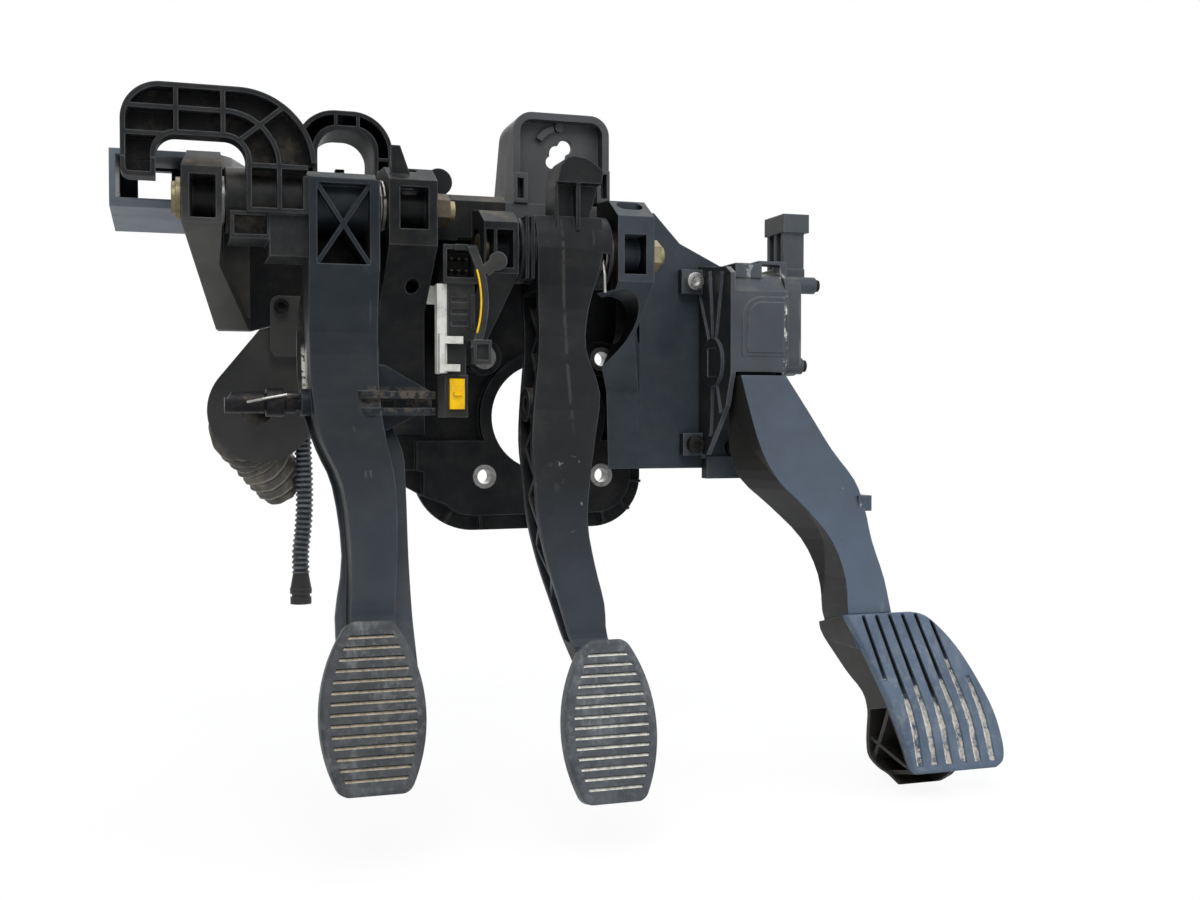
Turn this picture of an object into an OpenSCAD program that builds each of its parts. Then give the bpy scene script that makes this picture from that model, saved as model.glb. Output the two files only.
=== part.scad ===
// Pedal box: clutch, brake and accelerator pedals on one moulded bracket.
// Millimetres. X to the right as the driver sees it, Y towards the firewall, Z up.
// The origin is the centre of the servo opening on the firewall face.

/* [View] */
// Node to draw, or all

/* [Firewall flange] */
// Radius of the servo opening
servo_r = 31.5; // [26:0.5:34]
// Stud spacing across
stud_dx = 72; // [60:1:84]
// Stud spacing up
stud_dz = 70; // [60:1:84]
// Stud hole radius inside the steel bush
stud_r = 4.3; // [3.3:0.1:5.3]
// Outer radius of the steel bushes
bush_r = 7; // [6:0.25:9]
// Thickness of the back plate
plate_t = 6; // [4:0.5:8]
// Outer edge of the side tray, distance to the left of the servo axis
tray_x = 239.5; // [236:0.5:252]
// Top of the upper tower above the servo axis
tower_z = 168.5; // [164:0.5:176]
// Thickness of the raised flange pads
pad_t = 12; // [9:0.5:14]

/* [Pivots] */
// Clutch pivot, distance in front of the firewall face
clutch_y = 110; // [100:1:120]
// Clutch pivot height
clutch_z = 104; // [98:1:110]
// Brake pivot, distance in front of the firewall face
brake_y = 105; // [98:1:112]
// Brake pivot height
brake_z = 86; // [82:1:90]
// Pivot bolt radius
bolt_r = 5; // [4:0.5:6]
// Pivot sleeve radius
sleeve_r = 8; // [7:0.25:9]
// Outer radius of the plain bushes in the pedal hubs
hub_bush_r = 11; // [10:0.25:12]
// Clutch hub radius
clutch_hub_r = 16; // [14:0.5:18]
// Brake hub radius
brake_hub_r = 17; // [15:0.5:18.5]

/* [Pedals] */
// Wall thickness of the pedal mouldings
wall = 3; // [2.4:0.1:4]
// Rib thickness
rib = 2.2; // [1.6:0.1:3]
// Clutch pad width
clutch_pad_w = 47; // [42:1:54]
// Clutch pad height
clutch_pad_h = 76; // [70:1:82]
// Brake pad width
brake_pad_w = 45; // [40:1:52]
// Brake pad height
brake_pad_h = 75; // [70:1:82]
// Radius of the eye for the servo rod in the brake arm
eye_r = 4.1; // [3.5:0.1:4.5]
// Number of grooves in a round pad
groove_n = 14; // [9:1:16]
// Depth of the clutch hook
hook_depth = 12; // [9:1:28]

/* [Accelerator] */
// Accelerator pivot, distance in front of the firewall face
accel_y = 74; // [72:1:76]
// Accelerator pivot height
accel_z = 31; // [29:1:33]
// Accelerator shaft radius
shaft_r = 4; // [3:0.5:5]
// Number of slots in the accelerator pad
slot_n = 7; // [5:2:7]

/* [Clutch cylinder] */
// Height of the cylinder axis
cyl_z = 5; // [2:0.5:8]
// Cylinder outer radius
cyl_r = 14; // [13:0.5:15]
// End of the pressure outlet behind the firewall face
cyl_end = 84; // [82:1:96]
// Bore radius
cyl_bore_r = 9.8; // [9:0.1:10.5]
// Hose outer radius
hose_r = 5; // [4:0.25:5.5]

/* [Hidden] */
$fn = 48;
black = [0.09, 0.1, 0.11];
rubber = [0.06, 0.06, 0.06];
steel = [0.72, 0.72, 0.72];
zinc = [0.72, 0.62, 0.38];
yellow = [0.9, 0.68, 0.06];
white = [0.86, 0.86, 0.82];
fit = 0.05;
cy = -clutch_y;
cz = clutch_z;
by = -brake_y;
bz = brake_z;
ay = -accel_y;
az = accel_z;

// Drawing helpers
module yslab(y0, y1) {
    translate([0, y1, 0])
        rotate([90, 0, 0])
            linear_extrude(height = y1 - y0)
                children();
}
module xslab(x0, x1) {
    translate([x0, 0, 0])
        rotate([90, 0, 90])
            linear_extrude(height = x1 - x0)
                children();
}
module zslab(z0, z1) {
    translate([0, 0, z0])
        linear_extrude(height = z1 - z0)
            children();
}
module box(a, b) {
    translate(a)
        cube([b[0] - a[0], b[1] - a[1], b[2] - a[2]]);
}
module xrod(x0, x1, y, z, r) {
    translate([x0, y, z])
        rotate([0, 90, 0])
            cylinder(h = x1 - x0, r = r);
}
module yrod(y0, y1, x, z, r) {
    translate([x, y0, z])
        rotate([-90, 0, 0])
            cylinder(h = y1 - y0, r = r);
}
module strip(p, q, w) {
    d = q - p;
    n = norm(d);
    translate(p)
        rotate(atan2(d[1], d[0]))
            translate([0, -w / 2])
                square([n, w]);
}
module round_rect(x0, y0, x1, y1, r) {
    translate([x0 + r, y0])
        square([x1 - x0 - 2 * r, y1 - y0]);
    translate([x0, y0 + r])
        square([x1 - x0, y1 - y0 - 2 * r]);
    for (x = [x0 + r, x1 - r])
        for (y = [y0 + r, y1 - r])
            translate([x, y])
                circle(r = r);
}
function cr(a, b, c, d, t) = 0.5 * (2 * b + (c - a) * t + (2 * a - 5 * b + 4 * c - d) * t * t
    + (3 * b - a - 3 * c + d) * t * t * t);
function spline(p, n) = let (m = len(p) - 1) [
    for (i = [0 : m - 1]) for (k = [0 : n - 1])
        cr(p[max(i - 1, 0)], p[i], p[i + 1], p[min(i + 2, m)], k / n), p[m]];
// Keys are [height, low side, high side]; the band between the two sides becomes one outline.
function band(keys, n, low, high) = let (s = spline(keys, n), m = len(s)) concat(
    [for (i = [0 : m - 1]) [s[i][1] + low, s[i][0]]],
    [for (i = [m - 1 : -1 : 0]) [s[i][2] - high, s[i][0]]]);
module arm_solid(front, side, x_in, y_in, y_out) {
    intersection() {
        yslab(-260, 20)
            polygon(band(front, 3, x_in, x_in));
        xslab(-260, 260)
            polygon(band(side, 3, y_in, -y_out));
    }
}

// Bracket: plan outlines [X, Y] and side outlines [Y, Z] crossed with each other
function ear_x(y) = 29 + (92 + y) * 37 / 86;
function cheek_x(y) = -207 + (131 + y) * 21 / 125;
module sheet(plan, side) {
    intersection() {
        zslab(-90, 190)
            polygon(plan);
        xslab(-260, 260)
            polygon(side);
    }
}
module pivot_tube(x0, x1, y, z) {
    xrod(x0, x1, y, z, sleeve_r + 1.5);
}
module flange_2d(d) {
    translate([-41, -31])
        circle(r = 36 - d);
    translate([33, -36])
        circle(r = 30.5 - d);
    polygon([[-41, -67 + d], [33, -66.5 + d], [63.5 - d, -36], [63.5 - d, 0], [-85 + d, 0],
        [-85 + d, -31], [-81 + d, -41 + d], [-72, -46]]);
}
module stud_spots() {
    for (x = [-stud_dx / 2, stud_dx / 2])
        for (z = [-stud_dz / 2, stud_dz / 2])
            translate([x, z])
                children();
}
module firewall_plate() {
    color(black)
        difference() {
            union() {
                yslab(-4, 0)
                    flange_2d(0);
                yslab(-plate_t, 0)
                    polygon([[-85, -31], [63.5, -31], [66, -13], [66, 118], [-70, 118], [-70, 128],
                        [-96, 128], [-96, 138], [-116, 138], [-116, 141], [-121, 141], [-121, 138],
                        [-186, 138], [-186, 48], [-168, 48], [-140, 56], [-112, 56], [-97, 40], [-97, -12]]);
                yslab(-pad_t, 0)
                    intersection() {
                        flange_2d(9);
                        translate([-90, -70])
                            square([160, 56]);
                    }
                yslab(-pad_t, 0)
                    circle(r = servo_r + 7);
                yslab(-pad_t, 0)
                    stud_spots()
                        circle(r = bush_r + 3.4);
                yslab(-9, 0)
                    intersection() {
                        flange_2d(0.8);
                        union() {
                            for (a = [204 : 36 : 276])
                                translate([-41, -31])
                                    rotate(a)
                                        translate([20, -0.8])
                                            square([16, 1.6]);
                            for (a = [282 : 36 : 354])
                                translate([33, -36])
                                    rotate(a)
                                        translate([16, -0.8])
                                            square([16, 1.6]);
                            for (x = [-8, 16])
                                translate([x, -67])
                                    square([1.6, 14]);
                        }
                    }
            }
            yslab(-pad_t - 1, 1)
                circle(r = servo_r);
            yslab(-pad_t - 1, 1)
                stud_spots()
                    circle(r = bush_r + fit);
            for (x = [-152, -132])
                yrod(-plate_t - 1, 1, x, 62, 2.1);
        }
}
module clutch_cheek() {
    color(black)
        difference() {
            union() {
                difference() {
                    sheet([[cheek_x(-131), -131], [-188.5, -131], [-188.5, -90], [-168, -plate_t],
                            [cheek_x(-plate_t), -plate_t]],
                        [[-131, 90], [-131, 116.5], [-113, 126.5], [-60, 134], [-plate_t, 138],
                            [-plate_t, 48], [-14, 48]]);
                    sheet([[cheek_x(-84) + 3.5, -84], [-160, -84], [-150, -10], [cheek_x(-10) + 3.5, -10]],
                        [[-84, 80], [-84, 123], [-60, 129], [-10, 133], [-10, 55], [-18, 55]]);
                    zslab(cz - 11.5, cz + 8.5)
                        polygon([[cheek_x(-131) + 2.5, -140], [-191.5, -140], [-191.5, -98],
                            [cheek_x(-98) + 2.5, -98]]);
                }
                pivot_tube(-207, -189.5, cy, cz);
            }
            xrod(-220, -180, cy, cz, bolt_r + 0.1);
        }
}
module side_tray() {
    color(black)
        difference() {
            sheet([[-tray_x, -95], [cheek_x(-95), -95], [cheek_x(-plate_t), -plate_t], [-186, -plate_t],
                    [-186, 0], [-tray_x, 0]],
                [[-95, 104.5], [-92, 101.5], [0, 101.5], [0, 139], [-95, 129]]);
            sheet([[3 - tray_x, -96], [cheek_x(-96) - 3, -96], [cheek_x(-plate_t) - 3, -plate_t],
                    [3 - tray_x, -plate_t]],
                [[-96, 105.5], [-plate_t, 105.5], [-plate_t, 136], [-96, 126]]);
            box([-227.5, -8, 118], [-210, 1, 134.5]);
            box([-tray_x - 5, -120, 95], [3.5 - tray_x, -60, 101.6]);
        }
}
module arch_2d(d) {
    round_rect(-147 + d, 104, -94.2 - d, 166.3 - d, 22 - d);
}
module arch_gap(d) {
    round_rect(-135 - d, 90, -104.5 + d, 156 + d, 13);
}
module upper_arch() {
    color(black)
        difference() {
            union() {
                difference() {
                    union() {
                        zslab(122, 128)
                            polygon([[-176.8, -42], [-102.2, -42], [-96, -plate_t], [-168, -plate_t]]);
                        yslab(-42, -plate_t)
                            difference() {
                                arch_2d(0);
                                arch_gap(0);
                                translate([-150, 100])
                                    square([60, 28]);
                            }
                    }
                    yslab(-43, -14)
                        difference() {
                            arch_2d(2.4);
                            arch_gap(2.4);
                            translate([-150, 100])
                                square([60, 31]);
                        }
                }
                yslab(-42, -12)
                    intersection() {
                        difference() {
                            arch_2d(1);
                            arch_gap(1);
                        }
                        union() {
                            for (x = [-126, -114])
                                translate([x, 150])
                                    square([1.8, 20]);
                            for (z = [140])
                                translate([-150, z])
                                    square([60, 1.8]);
                        }
                    }
            }
            yslab(-50, 0)
                translate([-119, 161])
                    circle(r = 1.6);
        }
}
module centre_wall() {
    color(black)
        difference() {
            union() {
                difference() {
                    sheet([[-110, -127], [-86, -127], [-86, -90], [-70, -plate_t], [-96, -plate_t],
                            [-110, -88]],
                        [[-127, 84], [-127, 116], [-112, 124], [-50, 128], [-plate_t, 128], [-plate_t, -10],
                            [-14, -10], [-34, 5]]);
                    sheet([[-130, -82], [-89, -82], [-76, -12], [-120, -12]],
                        [[-82, 60], [-82, 119], [-50, 123], [-12, 123], [-12, 10], [-30, 14]]);
                    box([-104.5, -140, cz - 12], [-90.5, -97, cz + 8.5]);
                    yrod(-128, -84, -95, 66, 3.4);
                    zslab(110, 130)
                        round_rect(-102, -117, -94, -112.5, 2.2);
                }
                pivot_tube(-109, -87, cy, cz);
                yslab(-121, -117)
                    polygon([[-108, 112], [-97, 112], [-98, 118], [-103.5, 133.5], [-108, 133.5]]);
            }
            xrod(-115, -80, cy, cz, bolt_r + 0.1);
        }
}
module brake_saddle() {
    color(black)
        difference() {
            union() {
                sheet([[-86, -97], [-44, -97], [-44, -plate_t], [-70, -plate_t], [-86, -90]],
                    [[-97, 91], [-97, 112], [-92, 115.5], [-plate_t, 125], [-plate_t, 112], [-60, 107]]);
                yslab(-97, -90)
                    intersection() {
                        translate([-79.5, 120.8])
                            circle(r = 7);
                        translate([-86, 104])
                            square([20, 26]);
                    }
                difference() {
                    xslab(-62, -44)
                        polygon([[-124, 72], [-124, 98], [-112, 105], [-60, 112], [-plate_t, 112],
                            [-plate_t, 30], [-24, 30]]);
                    box([-60.8, -130, bz - 11], [-56.8, -97, bz + 8]);
                    box([-55.2, -130, bz - 11], [-46.8, -97, bz + 8]);
                    xslab(-57.5, -40)
                        polygon([[-84, 66], [-84, 104], [-20, 106], [-20, 38]]);
                }
                pivot_tube(-61, -45, by, bz);
                yrod(-127, -118, -56, 77.5, 3);
            }
            yslab(-pad_t, 1)
                stud_spots()
                    circle(r = bush_r + 3.4);
            xrod(-70, head_x, by, bz, 10.6);
            xrod(-70, -40, by, bz, bolt_r + 0.1);
        }
}
module tower_2d(d) {
    translate([-31 + d, 118])
        square([55.5 - 2 * d, tower_z - 129]);
    translate([-20, 118])
        square([33.5, tower_z - 118 - d]);
    for (x = [-20, 13.5])
        translate([x, tower_z - 11])
            circle(r = 11 - d);
}
module upper_tower() {
    color(black)
        difference() {
            union() {
                zslab(108, 118)
                    polygon([[-44, -62], [22, -62], [50, -plate_t], [-44, -plate_t]]);
                difference() {
                    yslab(-62, -14)
                        tower_2d(0);
                    yslab(-63, -54)
                        tower_2d(4);
                    yslab(-50, -13)
                        tower_2d(4);
                    xslab(-40, 40)
                        polygon([[-14, 120], [-10, 120], [-10, 190], [-42, 190]]);
                }
                yslab(-57, -53)
                    intersection() {
                        translate([-3, 147.6])
                            difference() {
                                circle(r = 15.5);
                                circle(r = 12);
                            }
                        polygon([[-3, 147.6], [-9, 172], [-24, 160]]);
                    }
                yrod(-56.5, -53, -3, 162, 2.5);
                box([-31, -63.5, 118], [-23, -52, 134.5]);
                box([17, -63.5, 120], [24.5, -52, 138]);
            }
            box([-29, -70, 120.5], [-25.4, -56, 131.5]);
            box([19.2, -70, 122.5], [22.8, -56, 136]);
            yslab(-60, -45)
                union() {
                    translate([1.1, 151.8])
                        circle(r = 4.2);
                    translate([-3, 147.6])
                        circle(r = 5.2);
                    translate([-6.6, 142.9])
                        circle(r = 3.6);
                }
        }
}
module brake_ear() {
    color(black)
        difference() {
            union() {
                difference() {
                    sheet([[9, -124], [29, -124], [29, -92], [ear_x(-plate_t), -plate_t], [50, -plate_t],
                            [9, -88]],
                        [[-124, 70], [-124, 104], [-108, 114], [-60, 118], [-plate_t, 118], [-plate_t, -13],
                            [-20, -13], [-40, -30], [-50, -30], [-56, 14]]);
                    box([12.5, -130, bz - 12], [24.5, -97, bz + 8.5]);
                    xslab(0, 90)
                        round_rect(-74, 42, -22, 88, 17);
                    zslab(105, 130)
                        round_rect(12, -117, 26, -109, 3.9);
                }
                pivot_tube(9.5, 28.5, by, bz);
            }
            xrod(0, 40, by, bz, bolt_r + 0.1);
        }
}
module side_plate() {
    color(black)
        difference() {
            sheet([[ear_x(-50), -50], [110, -50], [110, -20], [ear_x(-20), -20]],
                [[-50, -30], [-20, -30], [-20, 118], [-50, 118]]);
            yslab(-60, -10)
                polygon([[30, 118], [56, 118], [72, 101], [104, 85.6], [110, 80], [140, 80], [140, 140],
                    [30, 140]]);
            intersection() {
                zslab(-90, 190)
                    polygon([[ear_x(-46) + 3, -46], [106, -46], [106, -10], [ear_x(-10) + 3, -10]]);
                yslab(-60, -10)
                    polygon([[30, -26], [106, -26], [106, 78], [102, 82], [70, 97], [54, 114], [30, 114]]);
            }
            for (p = fix_spots)
                yrod(-51, -40, p[0], p[1], 2.6);
        }
}
fix_spots = [[78, 78.5], [79, -16], [103, -18]];
module flange_bushes() {
    color(steel)
        difference() {
            yslab(-pad_t - 0.8, 0)
                stud_spots()
                    circle(r = bush_r);
            yslab(-pad_t - 2, 1)
                stud_spots()
                    circle(r = stud_r);
        }
}

// Pivot hardware
module pivot_bolt(x0, x1, y, z) {
    difference() {
        union() {
            xrod(x0 - 2.2, x0, y, z, 10);
            xrod(x0 - 4.2, x0 - 2.2, y, z, 8);
            xrod(x0, x1, y, z, bolt_r);
        }
        translate([x0 - 4.3, y, z])
            rotate([0, 90, 0])
                cylinder(h = 3, r = 4, $fn = 6);
    }
}
module pivot_nut(x0, y, z) {
    difference() {
        union() {
            xrod(x0, x0 + 1.8, y, z, 9.4);
            translate([x0 + 1.8, y, z])
                rotate([0, 90, 0])
                    cylinder(h = 6.6, r = 8.6, $fn = 6);
        }
        xrod(x0 - 1, x0 + 12, y, z, bolt_r + fit);
    }
}
module clutch_bolt() {
    color(zinc)
        pivot_bolt(-207, -74.5, cy, cz);
}
module clutch_nut() {
    color([0.36, 0.27, 0.18])
        pivot_nut(-86, cy, cz);
}
module clutch_sleeve() {
    color(steel)
        difference() {
            xrod(-188.5, -110, cy, cz, sleeve_r);
            xrod(-190, -108, cy, cz, bolt_r + 0.1);
        }
}
module clutch_bushes() {
    color([0.62, 0.6, 0.55])
        for (x = [-186.5, block_x - 13])
            difference() {
                xrod(x, x + 13, cy, cz, hub_bush_r - fit);
                xrod(x - 1, x + 14, cy, cz, sleeve_r + 0.08);
            }
}
module clutch_washers() {
    color(steel)
        for (x = [-188.5, -111.7])
            difference() {
                xrod(x, x + 1.6, cy, cz, 11.4);
                xrod(x - 1, x + 3, cy, cz, sleeve_r + 0.4);
            }
}
module brake_bolt() {
    color(zinc)
        pivot_bolt(head_x, 40, by, bz);
}
module brake_nut() {
    color(zinc)
        pivot_nut(29, by, bz);
}
module brake_sleeve() {
    color(steel)
        difference() {
            xrod(-44, 9, by, bz, sleeve_r);
            xrod(-46, 12, by, bz, bolt_r + 0.1);
        }
}
module brake_bushes() {
    color([0.62, 0.6, 0.55])
        for (x = [-41.5, -6.7])
            difference() {
                xrod(x, x + 13, by, bz, hub_bush_r - fit);
                xrod(x - 1, x + 14, by, bz, sleeve_r + 0.08);
            }
}
module brake_washers() {
    color(steel)
        for (x = [-44, 7.4])
            difference() {
                xrod(x, x + 1.6, by, bz, 12.5);
                xrod(x - 1, x + 3, by, bz, sleeve_r + 0.4);
            }
}

// Round wire swept through points; a ring of corners at every point, kept square to the path
function unit(v) = v / norm(v);
function path_dir(p, i) = unit(p[min(i + 1, len(p) - 1)] - p[max(i - 1, 0)]);
module wire(p, r, sides, ref) {
    m = len(p);
    rings = [for (i = [0 : m - 1])
        let (d = path_dir(p, i), a = unit(cross(d, ref)), b = cross(d, a))
            [for (k = [0 : sides - 1]) p[i] + r * (a * cos(360 * k / sides) + b * sin(360 * k / sides))]];
    pts = [for (q = rings) for (v = q) v];
    walls = [for (i = [0 : m - 2]) for (k = [0 : sides - 1]) let (k2 = (k + 1) % sides)
        each [[i * sides + k, (i + 1) * sides + k, (i + 1) * sides + k2],
            [i * sides + k, (i + 1) * sides + k2, i * sides + k2]]];
    ends = [[for (k = [0 : sides - 1]) k], [for (k = [sides - 1 : -1 : 0]) (m - 1) * sides + k]];
    polyhedron(pts, concat(ends, walls), convexity = 6);
}
function coil_x(x0, y, z, r, pitch, turns, start, step) = [for (a = [0 : step : 360 * turns])
    [x0 + pitch * a / 360, y + r * cos(a + start), z + r * sin(a + start)]];
module clutch_spring() {
    color(steel)
        wire(coil_x(-113.9, cy, cz, 12.9, 2, 1.4, 20, 24), 0.8, 8, [1, 0, 0]);
}
module brake_spring() {
    color(steel)
        wire(concat([[2.6, by - 16.2, bz - 22], [2.6, by - 15.4, bz - 12]],
            coil_x(2.6, by, bz, 14.4, 2.1, 1.4, 200, 24)), 0.9, 8, [1, 0, 0]);
}

// Pedal outlines, front keys [Z, left X, right X] and side keys [Z, front Y, rear Y]
clutch_front = [[76, -149, -115.2], [40, -149.5, -117], [8, -148.5, -117], [-11, -145, -115],
    [-34, -136, -111.5], [-66, -134, -113], [-92, -136, -115.5], [-114, -137, -114]];
clutch_rim = [[66, -149, -115.2], [40, -152.5, -115], [8, -152, -112.5], [-16, -145.5, -104],
    [-34, -138.5, -103.3], [-66, -135.8, -104.6], [-93, -140.8, -105.3], [-114, -141, -105.5]];
clutch_side = [[76, -132, -98], [40, -135, -104], [8, -142, -114], [-34, -155, -129], [-66, -166, -143],
    [-84, -172.5, -152], [-93, -175.2, -157], [-99, -179.5, -161], [-114, -182.5, -172]];
brake_front = [[103, -34, 2], [80, -34, 0], [55, -34, -7.4], [34, -35, -10], [12, -38.5, -4.5],
    [-12, -42.5, -10], [-30, -43, -14.5], [-52, -43.2, -18.5], [-72, -40.4, -17.2], [-90, -36.2, -14.4],
    [-106, -32.4, -14], [-126, -27, -6]];
brake_side = [[103, -118, -92], [86, -124, -88], [55, -125, -92], [12, -135, -105], [-12, -144, -116],
    [-52, -159, -135], [-80, -169, -147], [-97, -174.2, -155], [-106, -176.4, -159], [-112, -181, -163],
    [-126, -184, -174]];
accel_front = [[23, 88.5, 115.7], [4, 91.5, 126.5], [-18, 95.5, 138], [-35, 103, 149], [-50, 117, 152.6],
    [-68, 130, 153.9], [-88, 134.3, 157.5], [-108, 132.6, 158.8], [-124, 136, 162]];
accel_side = [[23, -101, -74], [4, -106, -77], [-18, -113, -83], [-35, -119, -90], [-50, -124, -96],
    [-68, -130, -102], [-88, -137, -107], [-108, -143.5, -113], [-124, -147.5, -118]];
// Left flank leans out towards the rear; the inset of each key sets where the lean starts
flank_lean = 19;
flank_in = [12, 10, 4, 0, 0.5, 4, 8.5, 11, 12];
accel_pad_keys = [[45, -45.5, -7], [41, -44, 4.5], [23, -35.7, 20.5], [-5, -25, 35], [-24, -19.5, 39.8],
    [-36, -16.8, 39.4], [-40.5, -14, 34]];
// Middle slot of the accelerator pad as [Z, X], and the profile of the foot behind it as [Z, front, rear]
accel_slot_keys = [[44, -12.4], [14, -3.6], [-12, 3.4], [-37, 5.4]];
foot_side = [[46, 0, 30], [37, 0, 34], [18, 0, 29], [5, 0, 21.5], [-5, 0, 25], [-14, 0, 33], [-23, 0, 40],
    [-31, 0, 42], [-40, 0, 31], [-46, 19, 22]];
foot_w = 26;
pad_tilt = 12;
clutch_pad_at = [-128.2, -189, -129.3];
brake_pad_at = [-18.2, -190, -142.5];
accel_pad_at = [175, -153, -150];
accel_pad_tilt = 14;
rear_t = 4;
function rear_strip(side, t) = [for (k = side) [k[0], k[2] - t, k[2]]];
module pad_place(c, tilt) {
    translate(c)
        rotate([-tilt, 0, 0])
            children();
}
// Barrel outline of a round pad, inset by d
module pad_2d(w, h, d) {
    s = 0.19 * w;
    r = (h * h / 4 + s * s) / (2 * s);
    intersection() {
        translate([w / 2 - r, -pad_low])
            circle(r = r - d, $fn = 96);
        translate([r - w / 2, -pad_low])
            circle(r = r - d, $fn = 96);
        translate([-w, d - h / 2])
            square([2 * w, h - 2 * d]);
    }
}
pad_rim = 3;
pad_low = 4;
pad_back = 4;
pad_face = 5;
groove_w = 1.5;
groove_d = 1.3;
module grip_pad(w, h) {
    difference() {
        yslab(-pad_face, pad_back)
            pad_2d(w, h, 0);
        yslab(-pad_face - 1, groove_d - pad_face)
            intersection() {
                pad_2d(w, h, 4.6);
                for (i = [0 : groove_n - 1])
                    translate([-w, (i / (groove_n - 1) - 0.5) * (h - 14) - groove_w / 2])
                        square([2 * w, groove_w]);
            }
        yslab(0, pad_back + 1)
            pad_2d(w, h, pad_rim - 0.1);
    }
}
// Room for a pad's body and rim in the end of its arm, and the plate of the arm that fills the pad
module pad_room(c, w, h) {
    pad_place(c, pad_tilt)
        difference() {
            yslab(-pad_face - 20, pad_back + fit)
                pad_2d(w, h, -0.2);
            yslab(fit, pad_back + 1)
                pad_2d(w, h, pad_rim);
        }
}
module pad_plate(c, w, h) {
    pad_place(c, pad_tilt)
        yslab(fit, pad_back + 1.5)
            pad_2d(w, h, pad_rim);
}
module clutch_pad() {
    color(rubber)
        pad_place(clutch_pad_at, pad_tilt)
            grip_pad(clutch_pad_w, clutch_pad_h);
}
module brake_pad() {
    color(rubber)
        pad_place(brake_pad_at, pad_tilt)
            grip_pad(brake_pad_w, brake_pad_h);
}
split_x = -149;
block_x = -115.2;
head_x = -57;
eye_x = -4.5;
eye_end_x = -41;
eye_y = -124;
eye_z = 6;
pin_y = -128;
pin_z = 6.6;
pin_r = 4.2;
module clutch_arm() {
    color(black)
        difference() {
            union() {
                difference() {
                    union() {
                        arm_solid(clutch_front, clutch_side, 0, 0, 0);
                        arm_solid(clutch_rim, rear_strip(clutch_side, rear_t), 0, 0, 0);
                        box([split_x, -132, 70], [block_x, -96, 114]);
                        xrod(split_x - 4, split_x + 6, pin_y, pin_z, 6.6);
                    }
                    intersection() {
                        arm_solid(clutch_front, clutch_side, wall, wall, 20);
                        box([-200, -300, -120], [-80, 20, 66]);
                    }
                    box([-145, -133, 73], [-120, -104, 111.5]);
                    pad_room(clutch_pad_at, clutch_pad_w, clutch_pad_h);
                }
                intersection() {
                    arm_solid(clutch_front, clutch_side, 1, 1, -2);
                    yslab(-220, -80)
                        for (z = [52 : -26 : -78]) {
                            strip([-152, z], [-105, z - 26], rib);
                            strip([-105, z], [-152, z - 26], rib);
                        }
                }
                yslab(-131, -110)
                    intersection() {
                        translate([-146, 72])
                            square([27, 41]);
                        union() {
                            strip([-145.5, 72.5], [-119.5, 112], rib);
                            strip([-145.5, 112], [-119.5, 72.5], rib);
                        }
                    }
                xrod(split_x, block_x, cy, cz, clutch_hub_r);
                wing();
                pad_plate(clutch_pad_at, clutch_pad_w, clutch_pad_h);
            }
            xrod(split_x - 1, block_x + 1, cy, cz, hub_bush_r);
            xrod(split_x - 10, split_x + 2, pin_y, pin_z, pin_r + fit);
        }
}
module wing() {
    for (z = [0.5, 8.5])
        zslab(z, z + 3.6)
            union() {
                translate([-96, -129])
                    circle(r = 8);
                translate([-121.5, -139])
                    circle(r = 6.5);
                polygon([[-118, -140], [-98, -136.7], [-94, -121.3], [-112, -118], [-118, -122]]);
            }
    yslab(-130.5, -127.5)
        polygon([[-116, 0.5], [-90, 0.5], [-90, 12], [-113, 25], [-117, 25]]);
    yslab(-130.5, -127.5)
        polygon([[-114, -8], [-94, 2], [-116, 2]]);
}
module hook_2d(d) {
    translate([-233.5 + d, 114])
        square([52.5 - d, 22]);
    translate([-215.5, 130])
        square([34.5, 24 - d]);
    translate([-215.5, 136])
        circle(r = 18 - d);
    translate([-229.5, 110 + d])
        square([11.5 - d, 10]);
    translate([-229.5, 114])
        circle(r = 4 - d);
    intersection() {
        translate([-181, 118])
            circle(r = 36 - d, $fn = 72);
        translate([-181.5, 114])
            square([40, 45]);
    }
    translate([-181.5, 96 + d])
        square([split_x + 181.5 - d, 24]);
}
module hook_gap(d) {
    translate([-209, 121])
        circle(r = 9 + d);
    translate([-187.5, 120])
        circle(r = 10 + d);
    translate([-209, 121])
        square([21.5, 9 + d]);
    translate([-218 - d, 80])
        square([40.5 + 2 * d, 41]);
}
module hook_band(d) {
    difference() {
        hook_2d(d);
        hook_gap(d);
    }
}
hook_y = -131;
module hook_cells() {
    difference() {
        yslab(hook_y, hook_y + hook_depth)
            hook_band(0);
        yslab(hook_y - 1, hook_y + hook_depth - 3)
            hook_band(2.4);
    }
    yslab(hook_y, hook_y + hook_depth - 1)
        intersection() {
            hook_band(1);
            union() {
                strip([-234, 142.4], [-187, 142.4], rib);
                strip([-234, 130], [-214, 130], rib);
                strip([-209, 126], [-209, 156], rib);
                strip([-188, 126], [-188, 156], rib);
                strip([-182, 128], [-158, 148], rib);
                strip([-180, 118], [-143, 118], rib);
                strip([-162.4, 94], [-162.4, 118], rib);
                intersection() {
                    translate([-187, 118])
                        difference() {
                            circle(r = 25.6);
                            circle(r = 23.4);
                        }
                    translate([-187, 118])
                        square([40, 40]);
                }
            }
        }
}
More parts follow.
